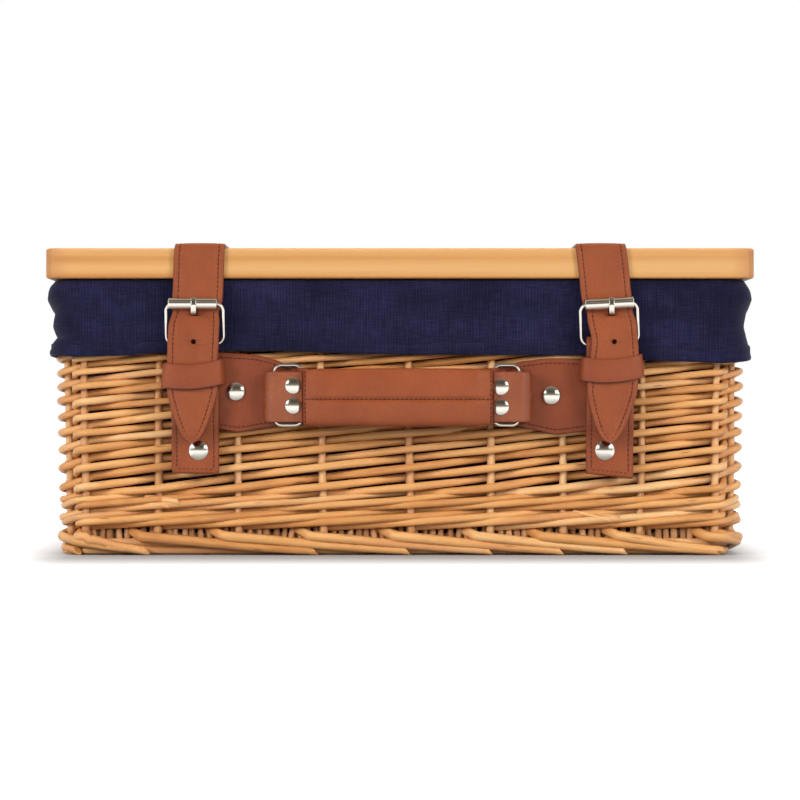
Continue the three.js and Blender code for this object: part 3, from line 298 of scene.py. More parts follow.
def band(path, across, half, thickness, closed=False, groove_inset=2.9, groove=0.22, crown=0.12):
    """Leather of a given half width carried along a path: path + across s (half - d) + out (v t/2 + lift),
    with s, d, v and lift from the section. Where the band is narrow, d and lift shrink with it."""
    count = len(path)
    half = np.broadcast_to(half, count)[:, None]
    thickness = np.broadcast_to(thickness, count)[:, None]
    side, inset, share, lift, edge = band_section(groove_inset, groove, crown).T
    shrink = np.minimum(1.0, half / 9.0)
    reach = side * (half - inset * shrink)
    height = share * thickness / 2 + lift * shrink
    out = face_out(path, across, closed)
    points = path[:, None] + reach[..., None] * across + height[..., None] * out[:, None]
    faces = [(grid_faces(count, len(side), closed), True)]
    marks = np.tile(edge, (count, 1))
    if not closed:
        end = np.arange(len(side))[None]
        faces += [(end[:, ::-1], False), (end + (count - 1) * len(side), False)]
        marks[0] = marks[-1] = 0.8
    return Shape(points, faces, marks={"edge": marks.ravel()})


def stitches(line, normals):
    """Threads laid end to end along a line. Each is a rod whose radius falls at both ends, where it dips
    into its hole: r (1 - 0.7 u^4) wide and r (0.5 - 1.3 u^2) over the leather, for u from -1 to 1."""
    along = walked(line)
    places = np.arange(PITCH * 0.6, along[-1] - PITCH * 0.3, PITCH)
    centre = line_at(places, along, line)
    heading = unit(line_at(places + 0.1, along, line) - line_at(places - 0.1, along, line))
    normal = unit(line_at(places, along, normals))
    wobble = RANDOM.normal(0, 0.05, (len(places), 1, 1))
    u = np.array([-1.0, -0.7, 0.0, 0.7, 1.0])
    reach = STITCH / 2 * u[:, None]
    lines = (centre[:, None] + reach * heading[:, None] + wobble * reach * np.cross(heading, normal)[:, None]
             + (THREAD_RADIUS * (0.5 - 1.3 * u**2))[:, None] * normal[:, None])
    return tubes(lines, THREAD_RADIUS * (1 - 0.7 * u**4), normal[:, None], sides=5)


def seams(path, across, half, inset, lift, laid=lambda line: line):
    """A row of stitches along each edge of a band's face, at a distance in from it."""
    out = face_out(path, across)
    reach = (half - np.minimum(inset, half * 0.9))[:, None] * across
    rows = [stitches(laid(path + hand * reach + lift * out), out) for hand in (-1, 1)]
    return rows[0] + rows[1]


def spun(profile, centre, axis, across, sides):
    """A profile of (radius, height) turned about an axis:
    centre + r (cos a across + sin a (axis x across)) + h axis."""
    profile = np.asarray(profile, float)[:, None]
    ring = circle(sides, across, np.cross(axis, across))
    return centre + profile[..., :1] * ring + profile[..., 1:] * axis


def turned(profile, centre, axis, across, sides, finish=0):
    """A spun profile that starts and ends on its axis."""
    rings = spun(profile[1:-1], centre, axis, across, sides)
    poles = [centre + profile[end][1] * axis for end in (0, -1)]
    count = rings[..., 0].size
    j = np.arange(sides)
    k = (j + 1) % sides
    faces = [(grid_faces(len(rings), sides), True), (columns(count, k, j), True),
             (columns(count + 1, count - sides + j, count - sides + k), True)]
    return Shape(np.concatenate([rings.reshape(-1, 3), poles]), faces, finish)


def bored(profile, centre, axis, across, sides):
    """A closed profile, walked up its inside and down its outside, spun into a ring."""
    return Shape(spun(profile, centre, axis, across, sides), [(grid_faces(len(profile), sides, True), True)])


def cut_by(piece, cutter):
    """Takes the cutter's solid out of the piece and throws the cutter away."""
    cutting = piece.modifiers.new("cut", "BOOLEAN")
    cutting.operation = "DIFFERENCE"
    cutting.solver = "EXACT"
    cutting.object = cutter
    depsgraph = bpy.context.evaluated_depsgraph_get()
    result = bpy.data.meshes.new_from_object(piece.evaluated_get(depsgraph), depsgraph=depsgraph)
    piece.modifiers.clear()
    piece.data = result
    bpy.data.objects.remove(cutter)


# Finishes. Their colours are as they show, 0 to 255.

def srgb(*colour):
    """A colour given as it shows, in the linear numbers that a shader takes."""
    share = np.array(colour) / 255
    return (*np.where(share <= 0.04045, share / 12.92, ((share + 0.055) / 1.055) ** 2.4), 1.0)


class Value:
    """A socket that takes part in sums: each operator adds a Math node."""

    def __init__(self, nodes, socket):
        self.nodes, self.socket = nodes, socket

    def sum_with(self, operation, first, second):
        return self.nodes.node("ShaderNodeMath", {"operation": operation}, {0: first, 1: second})

    def __add__(self, other):
        return self.sum_with("ADD", self, other)

    def __sub__(self, other):
        return self.sum_with("SUBTRACT", self, other)

    def __rsub__(self, other):
        return self.sum_with("SUBTRACT", other, self)

    def __mul__(self, other):
        return self.sum_with("MULTIPLY", self, other)

    __radd__, __rmul__ = __add__, __mul__


class Nodes:
    """A node tree under way."""

    def __init__(self, tree):
        self.tree = tree

    def node(self, kind, settings, inputs, output=0):
        """Adds a node, with its settings first and then its sockets' values or links."""
        made = self.tree.nodes.new(kind)
        stops = settings.pop("stops", ())
        for name, value in settings.items():
            setattr(made, name, value)
        for _ in stops[2:]:
            made.color_ramp.elements.new(0.5)
        for number, stop in enumerate(stops):
            element = made.color_ramp.elements[number]
            element.position, element.color = stop
        for socket, value in inputs.items():
            if isinstance(value, Value):
                self.tree.links.new(value.socket, made.inputs[socket])
            else:
                made.inputs[socket].default_value = value
        return Value(self, made.outputs[output])

    def looked_at(self, *others):
        """One where the camera's or one of these other rays looks, and nought elsewhere."""
        seen = self.node("ShaderNodeLightPath", {}, {}, "Is Camera Ray")
        for ray in others:
            seen = seen.sum_with("MAXIMUM", seen, self.node("ShaderNodeLightPath", {}, {}, f"Is {ray} Ray"))
        return seen

    def out_to(self, kind, shown):
        """Joins a shader to the tree's output."""
        output = next(n for n in self.tree.nodes if n.type == kind)
        self.tree.links.new(shown.socket, output.inputs["Surface"])


class Finish(Nodes):
    """A material under way, with its shader."""

    def __init__(self, name, **constants):
        self.material = bpy.data.materials.new(name)
        self.material.use_nodes = True
        super().__init__(self.material.node_tree)
        self.shader = next(n for n in self.tree.nodes if n.type == "BSDF_PRINCIPLED")
        for socket, value in constants.items():
            self.shader.inputs[socket.replace("_", " ")].default_value = value

    def place(self):
        return self.node("ShaderNodeTexCoord", {}, {}, "Object")

    def mark(self, name, output="Fac"):
        return self.node("ShaderNodeAttribute", {"attribute_name": name}, {}, output)

    def pattern(self, kind, settings, where, scale, **inputs):
        """A texture at one scale, or at a scale for each axis."""
        if isinstance(scale, tuple):
            stretch = {"Vector": where, "Scale": scale}
            where, scale = self.node("ShaderNodeMapping", {"vector_type": "POINT"}, stretch), 1.0
        inputs = {socket.replace("_", " "): value for socket, value in inputs.items()}
        return self.node(f"ShaderNodeTex{kind}", settings, {"Vector": where, "Scale": scale, **inputs})

    def noise(self, where, scale, detail, roughness=0.5):
        return self.pattern("Noise", {}, where, scale, Detail=detail, Roughness=roughness)

    def cells(self, where, scale, feature="F1"):
        return self.pattern("Voronoi", {"feature": feature}, where, scale, Randomness=1.0)

    def waves(self, where, scale, direction, distortion, detail_scale):
        settings = {"wave_type": "BANDS", "bands_direction": direction}
        return self.pattern("Wave", settings, where, scale, Distortion=distortion, Detail=2.0,
                            Detail_Scale=detail_scale)

    def ramp(self, value, *stops):
        """Colours, or greys from 0 to 1, at places along a value."""
        def colour(look):
            return srgb(*look) if isinstance(look, tuple) else (look, look, look, 1.0)

        stops = [(at, colour(look)) for at, look in stops]
        return self.node("ShaderNodeValToRGB", {"stops": stops}, {0: value})

    def mix(self, share, first, second):
        first, second = (srgb(*look) if isinstance(look, tuple) else look for look in (first, second))
        return self.node("ShaderNodeMix", {"data_type": "RGBA"}, {0: share, 6: first, 7: second}, 2)

    def vector(self, operation, first, second=None, output="Vector"):
        inputs = {0: first} if second is None else {0: first, 1: second}
        return self.node("ShaderNodeVectorMath", {"operation": operation}, inputs, output)

    def axis(self, where, name):
        return self.node("ShaderNodeSeparateXYZ", {}, {0: where}, name)

    def joined(self, **links):
        """Joins values to the shader's sockets and returns the material."""
        for socket, value in links.items():
            self.tree.links.new(value.socket, self.shader.inputs[socket.replace("_", " ")])
        return self.material

    def done(self, colour, roughness, height, strength, depth):
        bump = {"Height": height, "Strength": strength, "Distance": depth}
        bump = self.node("ShaderNodeBump", {}, bump)
        return self.joined(Base_Color=colour, Roughness=roughness, Normal=bump)


def willow_finish(name, pale, middle, dark, rough=0.42):
    """Peeled willow: a colour for each rod, streaks along the grain, small knots and flecks."""
    finish = Finish(name, Specular_IOR_Level=0.45, Coat_Weight=0.35, Coat_Roughness=0.28)
    grain, tone = finish.mark("grain", "Vector"), finish.mark("tone")
    streak = finish.noise(grain, (0.018, 0.45, 0.45), 4.0, 0.62)
    mottle = finish.noise(grain, (0.05, 0.1, 0.1), 2.0)
    colour = finish.ramp(streak * 0.45 + mottle * 0.35 + tone * 0.42 - 0.08,
                         (0.2, dark), (0.42, middle), (0.64, pale), (0.86, (238, 200, 146)))
    redder = finish.noise(grain, (0.008, 0.02, 0.02), 2.0) * 0.75 + tone * 0.25
    colour = finish.mix(finish.ramp(redder, (0.57, 0.0), (0.66, 1.0)) * 0.5, colour, (196, 118, 66))
    knot = finish.ramp(finish.cells(grain, (0.03, 0.3, 0.3)), (0.05, 1.0), (0.13, 0.0))
    colour = finish.mix(knot * 0.8, colour, (104, 62, 34))
    fleck = finish.ramp(finish.cells(grain, (0.09, 1.1, 1.1)), (0.06, 1.0), (0.14, 0.0))
    colour = finish.mix(fleck * 0.28, colour, (122, 74, 40))
    fine = finish.noise(grain, (0.08, 3.0, 3.0), 3.0, 0.6)
    height = fine * 0.5 + streak * 0.8 + knot * 0.6
    return finish.done(colour, streak * 0.25 + (rough - 0.12), height, 0.35, 0.0004)


def pine_finish():
    """Varnished pine: long grain along X with wide soft rings, a few darker lines and fine pores, and
    painted shade towards both ends of the lid, where its rounded corners turn away from the light."""
    finish = Finish("pine", Specular_IOR_Level=0.3)
    where = finish.place()
    bend = finish.noise(where, (2.2, 7.0, 14.0), 2.0)
    rings = finish.waves(where, (0.825, 7.5, 24.0), "Z", 3.2, 1.3)
    lines = finish.noise(where, (2.0, 90.0, 150.0), 4.0, 0.6)
    colour = finish.ramp(rings * 0.42 + lines * 0.62 + bend * 0.12, (0.3, (219, 168, 109)),
                         (0.52, (211, 159, 100)), (0.7, (208, 152, 91)), (0.85, (193, 134, 76)))
    pores = finish.ramp(finish.noise(where, (30.0, 700.0, 900.0), 2.0), (0.62, 0.0), (0.8, 1.0))
    colour = finish.mix(pores * 0.18, colour, (176, 112, 62))
    # Painted shade: darker towards both ends of the lid, for the shade on its rounded end corners
    reach = finish.axis(finish.vector("ABSOLUTE", where), "X")
    ends = finish.ramp(reach + bend * 0.008, (0.2, 0.0), (0.2125, 1.0))
    colour = finish.mix(ends * 0.7, colour, (186, 124, 80))
    return finish.done(colour, lines * 0.14 + 0.44, lines * 0.7 + pores * -0.4, 0.25, 0.0002)


def leather_finish(name, body, deep, edge_colour, rough, gloss=0.34):
    """Smooth tan leather: fine pebble with painted shade in its creases, slow mottling, and darker dyed
    edges.
    """
    finish = Finish(name, Specular_IOR_Level=gloss)
    where = finish.place()
    mottle = finish.noise(where, 55.0, 4.0, 0.6)
    cloud = finish.noise(where, 14.0, 2.0)
    colour = finish.ramp(mottle * 0.6 + cloud * 0.4, (0.34, deep), (0.62, body))
    crease = finish.ramp(finish.cells(where, 1500.0, "DISTANCE_TO_EDGE"), (0.0, 0.0), (0.18, 1.0))
    wrinkle = finish.noise(where, 420.0, 4.0, 0.65)
    fine = finish.noise(where, 900.0, 3.0, 0.6)
    # Painted shade: the pebble grain darker along its creases
    colour = finish.mix(crease * -0.1 + 0.1, colour, deep)
    colour = finish.mix(finish.mark("edge") * 0.62, colour, edge_colour)
    colour = finish.mix(finish.ramp(fine, (0.38, 0.3), (0.58, 0.0)), colour, edge_colour)
    height = crease * 0.5 + wrinkle * 1.1 + fine * 0.4
    return finish.done(colour, mottle * 0.2 + (rough - 0.1), height, 0.38, 0.0003)


def thread_finish():
    """Waxed thread, with a twist along each stitch."""
    finish = Finish("thread", Specular_IOR_Level=0.3)
    twist = finish.noise(finish.mark("grain", "Vector"), (2.6, 1.5, 1.5), 2.0)
    colour = finish.mix(twist * 0.4, (80, 39, 29), (0, 0, 0))
    return finish.done(colour, twist * 0.2 + 0.5, twist, 0.5, 0.0002)


def cloth_finish():
    """Navy cotton with an upright rib, slubs in the weft, and a faint bloom of lighter threads."""
    finish = Finish("cloth", Specular_IOR_Level=0.15, Sheen_Weight=0.12, Sheen_Roughness=0.5)
    uv = finish.node("ShaderNodeUVMap", {"uv_map": "cloth"}, {})
    rib = finish.waves(uv, 0.36, "X", 1.6, 1.1)
    weft = finish.waves(uv, 0.55, "Y", 1.0, 1.0)
    warp = finish.noise(uv, (1.1, 0.06, 1.0), 3.0, 0.6)
    slub = finish.noise(uv, (0.1, 1.6, 1.0), 2.0)
    cloud = finish.noise(uv, (0.02, 0.03, 1.0), 3.0)
    colour = finish.ramp(rib * 0.16 + weft * 0.06 + warp * 0.3 + slub * 0.25 + cloud * 0.34,
                         (0.34, (7, 6, 24)), (0.52, (18, 17, 42)), (0.7, (44, 43, 76)))
    height = rib * 0.5 + weft * 0.15 + slub * 0.6 + warp * 0.5
    return finish.done(colour, warp * 0.1 + 0.85, height, 0.45, 0.0003)


def metal_finish(name, colour, rough, scratches):
    """Plated metal: faint clouding, fine rubbing marks and a soft dent here and there."""
    finish = Finish(name, Metallic=1.0)
    where = finish.place()
    cloud = finish.noise(where, 160.0, 3.0)
    rub = finish.noise(where, (300.0, 2600.0, 2600.0), 3.0, 0.7)
    shade = finish.mix(cloud * 0.063, colour, (0, 0, 0))
    return finish.done(shade, rub * scratches + rough, cloud * 0.6 + rub * 0.2, 0.06, 0.0003)


WILLOW = willow_finish("willow", (232, 174, 110), (217, 154, 89), (188, 120, 64))
STAKE = willow_finish("stake_willow", (230, 180, 124), (216, 160, 104), (192, 132, 82))
BASE = willow_finish("base_willow", (206, 158, 110), (180, 130, 84), (136, 90, 54), 0.55)
PINE = pine_finish()
CLOTH = cloth_finish()
LEATHER = leather_finish("leather", (154, 77, 38), (138, 64, 29), (112, 56, 36), 0.36, 0.4)
KEEPER_LEATHER = leather_finish("keeper_leather", (150, 73, 37), (134, 60, 28), (110, 54, 34), 0.34, 0.4)
PLATE_LEATHER = leather_finish("plate_leather", (137, 65, 32), (118, 51, 23), (108, 52, 32), 0.36, 0.36)
# Tab leather: a little lighter than the strap leather, a painted sheen, and glossier in its own right
TAB_LEATHER_PAINTED_SHEEN = leather_finish("tab_leather", (156, 82, 45), (141, 69, 34), (116, 58, 38), 0.26, 0.55)
# Near-black leather for the spare hole's floor: a painted shadow inside the hole
PAINTED_HOLE_SHADOW = leather_finish("painted_hole_shadow", (38, 20, 14), (26, 14, 10), (26, 14, 10), 0.7)
THREAD = thread_finish()
NICKEL = metal_finish("nickel", (214, 210, 201), 0.1, 0.12)
STEEL = metal_finish("steel", (168, 168, 166), 0.26, 0.2)


# The wall, as a line round the stakes

def stake_line():
    """A rectangle with its corners cut off, each bend an arc of radius CORNER, walked anticlockwise from the
    middle of the left side: arc length, place and outward direction at many points."""
    half_x = HALF_WIDTH + SIDE_SWELL - TAPER / 2 - STAKE_INSET
    half_y = HALF_DEPTH - TAPER / 2 - STAKE_INSET
    cut = math.degrees(math.atan2(CORNER_CUT_X, CORNER_CUT_Y))
    spread = [CORNER * math.tan(math.radians(turn) / 2) for turn in (cut, 90 - cut)]
    bends = [(half_x - CORNER, half_y - CORNER_CUT_Y - spread[0], cut),
             (half_x - CORNER_CUT_X - spread[1], half_y - CORNER, 90 - cut)]
    middle = here = np.array([-half_x, 0.0])
    places, outwards = [], []
    for sx, sy, angle in ((-1, -1, 180), (1, -1, 270), (1, 1, 0), (-1, 1, 90)):
        for x, y, turned_by in bends[::sx * sy]:
            turn = np.radians(angle + np.linspace(0, turned_by, 40))
            out = columns(np.cos(turn), np.sin(turn))
            bend = np.array([sx * x, sy * y]) + CORNER * out
            run = np.linspace(0, 1, 200, endpoint=False)[:, None]
            places += [here + (bend[0] - here) * run, bend[:-1]]
            outwards += [np.repeat(out[:1], 200, 0), out[:-1]]
            here = bend[-1]
            angle += turned_by
    run = np.linspace(0, 1, 300, endpoint=False)[:, None]
    places = np.concatenate(places + [here + (middle - here) * run, [middle]])
    outwards = np.concatenate(outwards + [np.repeat([[-1.0, 0.0]], 301, 0)])
    return walked(places), places, outwards


LINE_WALKED, LINE_PLACES, LINE_OUT = stake_line()
ROUND = LINE_WALKED[-1]
# Arc length at the middle of the front, found on the front's share of the points
FRONT_MIDDLE = np.interp(0.0, LINE_PLACES[:600, 0], LINE_WALKED[:600])


def wall(s, out, z):
    """The place at arc length s on the stake line, moved outwards, tapered with height and drawn in
    under the cuff, and the outward direction there."""
    s = np.mod(s, ROUND)
    normal = unit(line_at(s, LINE_WALKED, LINE_OUT))
    lean = TAPER * (z / RIM_TOP - 0.5) - 3.4 * step(z, 116.0, 128.0)
    flat = line_at(s, LINE_WALKED, LINE_PLACES) + normal * (out + lean)[..., None]
    return columns(flat[..., 0], flat[..., 1], z), columns(normal[..., 0], normal[..., 1], 0.0)


def stake_places():
    half_x, half_y = LINE_PLACES[:, 0].max(), LINE_PLACES[:, 1].max()
    targets = [(x, -half_y) for x in FRONT_STAKES] + [(-x, half_y) for x in FRONT_STAKES]
    targets += [(half_x, y) for y in SIDE_STAKES] + [(-half_x, y) for y in SIDE_STAKES]
    found = [LINE_WALKED[np.argmin(((LINE_PLACES - target) ** 2).sum(1))] for target in targets]
    return np.sort(found)


STAKES = stake_places()
STAKE_COUNT = len(STAKES)
EACH = np.arange(STAKE_COUNT)[:, None]


def at_stake(k):
    """The arc length at stake number k, where a fraction is between two stakes."""
    lap = np.floor(k / STAKE_COUNT)
    numbers = np.arange(STAKE_COUNT + 1)
    return np.interp(k - lap * STAKE_COUNT, numbers, np.append(STAKES, STAKES[0] + ROUND)) + lap * ROUND


def wavy(count, stations, size, knots):
    """Slow random wandering, one row for each rod."""
    rough = RANDOM.normal(0, size, (count, knots))
    places = np.linspace(0, knots - 1, stations)
    return np.stack([np.interp(places, np.arange(knots), row) for row in rough])


def thickness(along, low, high):
    """Radii along a rod, times a share for each stake's rod."""
    return along * RANDOM.uniform(low, high, (STAKE_COUNT, 1))


# Height of each crossing of a randed rod, from its butt upwards
RANDING = np.interp(np.arange(25), [0, 1, 3, 5, 7, 9, 11, 13, 15, 17, 24],
                    [35.2, 40.3, 52.0, 62.9, 72.7, 82.2, 91.4, 100.2, 108.9, 117.5, 147.6])


def randing():
    """Rods that start behind one stake each and pass in front of every second one as they rise:
    out = -A |cos(pi L)|^1.5 with the cosine's sign, and z = Z(L), where L counts the stakes passed and
    A is less under the cuff."""
    passed, steps = 24, 8
    levels = np.arange(passed * steps + 1) / steps
    shape = np.cos(np.pi * levels)
    z = np.interp(levels, np.arange(25), RANDING) + wavy(STAKE_COUNT, len(levels), 0.38, 30)
    out = (2.1 * step(z, 116.0, 126.0) - 4.5) * np.sign(shape) * np.abs(shape) ** 1.5
    paths, normals = wall(at_stake(EACH + levels), out, z)
    radii = thickness(np.interp(levels, [0, 8, 17, 24], [2.5, 2.3, 2.02, 1.85]), 0.94, 1.07)
    radii = radii * (1 + wavy(STAKE_COUNT, len(levels), 0.035, 80))
    return tubes(paths, radii, normals, sides=10)


def wale():
    """Stout rods that start low behind each stake, pass in front of two and behind one, and stop
    after six: out is A in front and -A behind, smoothly between."""
    levels = np.linspace(0, 6.3, 64)
    out = np.interp(levels, [0, 0.55, 1, 1.5, 2, 2.5, 3, 3.5, 4, 4.5, 5, 5.45, 6, 6.3],
                    [-4.6, 0.0, 4.2, 4.8, 4.2, 0, -4.6, 0, 4.2, 4.8, 4.2, 0, -4.4, -3.4])
    out = np.convolve(np.pad(out, 2, "edge"), np.ones(5) / 5, "valid")
    z = np.interp(levels, [0, 1, 2, 3, 4, 5, 6, 6.3], [16.6, 19.6, 23.0, 26.2, 29.5, 33.2, 37.0, 37.6])
    paths, normals = wall(at_stake(EACH + levels), out, z + wavy(STAKE_COUNT, len(levels), 0.3, 9))
    return tubes(paths, thickness(np.linspace(2.4, 2.0, len(levels)), 0.93, 1.06), normals)


def stakes():
    """Upright rods on the stake line, a little bent, from inside the foot border to under the rim."""
    stations = 26
    lean = RANDOM.normal(0, 1.2, (STAKE_COUNT, 1)) * np.linspace(-0.6, 0.6, stations)
    s = STAKES[:, None] + lean + wavy(STAKE_COUNT, stations, 0.35, 8)
    paths, normals = wall(s, wavy(STAKE_COUNT, stations, 0.15, 6), np.linspace(11.5, 149, stations))
    return tubes(paths, thickness(np.linspace(2.45, 2.05, stations), 0.94, 1.08), normals)


# Where the front's foot rods turn out beside their stakes, and where they end
FOOT_TURNS = {-187.7: (-191.0, -152.0), -143.2: (-153.9, -50.5), -96.8: (-105.7, 4.5), -46.3: (-54.0, 53.5),
              5.3: (-3.6, 96.0), 53.5: (45.2, 134.0), 97.4: (83.8, 188.0), 143.2: (129.6, 193.0)}


def foot_border():
    """The stakes' lower ends, bent round each other: each comes out from behind at an elbow beside its
    stake, then lies along the foot past two more, falling steadily to a slanted cut end."""
    turn = STAKES - 8.8 + RANDOM.normal(0, 1.2, STAKE_COUNT)
    end = at_stake(np.arange(STAKE_COUNT) + 2.0) - 1.5 + RANDOM.normal(0, 2.5, STAKE_COUNT)
    for x, (turn_x, end_x) in FOOT_TURNS.items():
        k = np.argmin(np.abs(STAKES - (FRONT_MIDDLE + x)))
        turn[k], end[k] = FRONT_MIDDLE + turn_x, FRONT_MIDDLE + end_x
    elbow = np.tile([-9.4, -5.2, -0.9, 0.1, 1.2, 4.5], (STAKE_COUNT, 1))
    s = np.hstack([elbow, np.array([0.12, 0.25, 0.45, 0.7, 1.0]) * (end - turn)[:, None]])
    out = [-8.4, -3.4, 2.2, 3.5, 4.1, 4.5, 4.7, 4.5, 3.5, 3.0, 2.7]
    z = np.array([15.4, 13.9, 11.9, 11.4, 11.2, 10.9, 10.2, 9.0, 6.8, 4.6, 2.6])
    z = z + RANDOM.normal(0, 0.3, (STAKE_COUNT, 1)) * np.linspace(1, 0.2, 11)
    # The places crowd towards the elbow
    share = np.linspace(0, 1, 46) ** 1.6
    fine = [smooth_path(line, 0.3) for line in columns(s, out, z)]
    paths = np.array([line_at(share * (len(line) - 1), np.arange(len(line)), line) for line in fine])
    radii = thickness(np.interp(share, [0, 0.12, 0.4, 1], [2.6, 3.15, 2.9, 2.45]), 0.96, 1.04)
    centres, normals = wall(paths[..., 0] + turn[:, None], paths[..., 1], paths[..., 2])
    rods = tubes(centres, radii, normals, cut=0.9)
    # Two hoops behind fill the border
    hoop = np.linspace(0, ROUND, 240, endpoint=False)
    for height in (2.9, 7.2):
        line, outward = wall(hoop, -3.4, np.full(len(hoop), height))
        rods = rods + tubes(line[None], 2.6, outward[None], closed=True)
    return rods


def odd_ends():
    """Short butts of rods that were laid in late and stand out of the wale: straight, and cut across."""
    starts = np.array([[-152.0, 1.0, 34.5], [-158.0, 2.0, 31.5], [103.0, 2.5, 26.0], [114.0, 1.5, 25.0]])
    ends = np.array([[-131.5, 6.2, 32.0], [-138.0, 6.0, 29.2], [125.0, 6.4, 20.8], [131.0, 6.0, 22.5]])
    lines = starts[:, None] + (ends - starts)[:, None] * np.linspace(0, 1, 7)[:, None]
    paths, normals = wall(lines[..., 0] + FRONT_MIDDLE, lines[..., 1], lines[..., 2])
    radii = np.array([1.8, 1.3, 1.25, 1.1])[:, None]
    return tubes(paths, radii, normals, cut=0.7, tone=np.array([0.95, 0.9, 0.8, 0.6]))


def base_weave():
    """Rods wound round the sticks of the base, front to back over the top and back under it, each one
    raised and lowered by turns where it crosses a stick; and the sticks, from side to side."""
    half_x = HALF_WIDTH - TAPER - WALL - 2.6
    half_y = HALF_DEPTH - TAPER - WALL - 1.2
    apart, stick_count = 4.7, 12
    middle = np.arange(-half_x + 3, half_x - 2, apart)
    sticks = np.linspace(-half_y + 4.5, half_y - 4.5, stick_count)
    run = np.linspace(half_y - 1.4, -half_y + 1.4, 45)
    wave = np.cos(np.pi * (run - sticks[0]) / (sticks[1] - sticks[0]))
    by_turns = np.where(np.arange(len(middle)) % 2 == 0, 1.5, -1.5)[:, None]
    z = np.hstack([12.6 + by_turns * wave, 9.6 + by_turns * wave[::-1]])
    x = middle[:, None] + wavy(*z.shape, 0.25, 12)
    outward = np.repeat([1.0, -1.0], len(run))[:, None] * Z
    weavers = tubes(columns(x, np.append(run, run[::-1]), z), 1.25, outward, sides=6, closed=True)
    lines = columns(np.linspace(-half_x, half_x, stick_count), sticks[:, None], 11.1)
    return weavers + tubes(lines, 2.0, Z)


def edge_strips():
    """Short upright turns of the base's rods round its outer sticks, seen above the foot border:
    each bowed outwards by b (1 - u^2), for u from -1 to 1 up its height."""
    spacing = 4.95
    count = int(ROUND / spacing)
    s = (np.arange(count) + RANDOM.uniform(-0.16, 0.16, count)) * ROUND / count
    u = np.linspace(-1, 1, 6)
    out = -6.4 + 1.4 * (1 - u**2) + RANDOM.normal(0, 0.3, (count, 1))
    tilt = RANDOM.normal(0, 0.35, (count, 1)) * u
    paths, normals = wall(s[:, None] + tilt, out, 12.0 + 5.4 * u)
    return tubes(paths, RANDOM.uniform(1.75, 2.2, (count, 1)), normals, sides=6)


# Cloth lining

CUFF_HALF_X, CUFF_HALF_Y, CUFF_CORNER = 207.6, 151.4, 18


def rim_walk(spacing):
    """The unit outline that every loop of the lining shares: a flat place from -1 to 1 in each
    direction, and the corner's direction; and the length round it."""
    flat = np.array([188.0, 133.0])
    corners = np.array([[-1, -1], [1, -1], [1, 1], [-1, 1]])
    pieces = []
    for start, end, facing in zip(corners, np.roll(corners, -1, 0), np.radians([270, 0, 90, 180])):
        share = np.linspace(0, 1, int((flat * np.abs(end - start)).sum() / spacing), endpoint=False)
        side = start + (end - start) * share[:, None]
        turn = facing + np.radians(np.linspace(0, 90, 9))[:-1]
        pieces += [columns(*side.T, np.cos(facing), np.sin(facing)),
                   columns(*end, np.cos(turn), np.sin(turn))]
    walk = np.concatenate(pieces)
    places = walk[:, :2] * flat + walk[:, 2:] * CUFF_CORNER
    return walk, walked(np.concatenate([places, places[:1]]))


# The hem's height along the front, and how far the cuff stands out at the left and right ends
HEM_X = [-208, -193, -160, -143, -110, -75, -58, -30, 0, 110, 140, 175, 190, 208]
HEM_Z = [119.0, 117.9, 118.6, 120.0, 121.3, 121.2, 120.8, 119.7, 119.2, 118.8, 115.9, 114.8, 114.0, 115.2]
FOLD_Z = [114, 118, 123, 127, 131, 135, 138, 142, 146, 149, 154, 158, 161, 164.5]
LEFT_FOLD = [0.5, 0.4, 1.6, 0.4, -2.9, -1.2, -0.2, -0.5, -1.6, 0.4, 3.0, 2.6, 1.6, -0.6]
RIGHT_FOLD = [1.8, 1.9, 1.5, 0.2, -0.9, -1.6, -1.8, -1.7, -1.2, 0.4, 2.4, 1.8, 0.4, -0.8]


def cuff_out(x, y, s, z, drop):
    """How far the cuff stands proud of the wicker at a place: rolls along its two ends, slow folds on the
    front and back, a soft crease halfway down, a rolled hem, and pressed in where leather crosses it."""
    front = step(-y, 130, 148)
    swell = np.sin(np.pi * np.clip(drop, 0, 1)) ** 0.8
    folds = 0.5 * np.sin(s / 21.0 + 1.4 * drop) + 0.35 * np.sin(s / 9.3 - 2.0 * drop + 1.0)
    folds += 0.35 * np.sin(s / 37.0 + 4.0)
    crease = -0.8 * near(drop, 0.56 + 0.05 * np.sin(s / 60.0), 0.07) * (0.6 + 0.4 * np.sin(s / 48.0 + 0.6))
    hem = 0.5 * near(drop, 0.97, 0.04) - 0.4 * near(drop, 0.9, 0.025)
    dents = near(x, -82, 27) * near(z, 139.5 + x / 22.0 + 3.7, 3.4) + near(x, 162, 24) * near(z, 140.5, 3.2)
    dents += 0.8 * near(x, 96, 11) * near(z, 137.0, 4.0) - 0.5 * near(x, -60, 60) * near(z, 128.5, 4.5)
    out = swell * folds * 0.8 + crease + hem - 1.15 * dents * front
    shifted = z + 3.0 * np.sin((y + 150) / 34.0) + 1.2 * np.sin(y / 11.0)
    left = np.interp(shifted, FOLD_Z, LEFT_FOLD) * step(-x, 188, 205)
    right = np.interp(shifted, FOLD_Z, RIGHT_FOLD) * step(x, 188, 205)
    out = out + left + right
    pressed = np.zeros_like(out)
    for side in SIDES.values():
        heel = near(x, side.buckle, 17.0) * near(z, HEEL_Z, 6.5) * 1.5
        away = (x - side.buckle) * -side.hand
        plate = step(away, -20, -14) * (1 - step(away, 66, 74)) * (1 - step(z, 119.0, 126.0))
        pressed = np.maximum(pressed, np.maximum(heel, plate))
    return out * (1 - 0.9 * np.clip(pressed, 0, 1) * front) - 2.55 * np.clip(pressed, 0, 1.35) * front


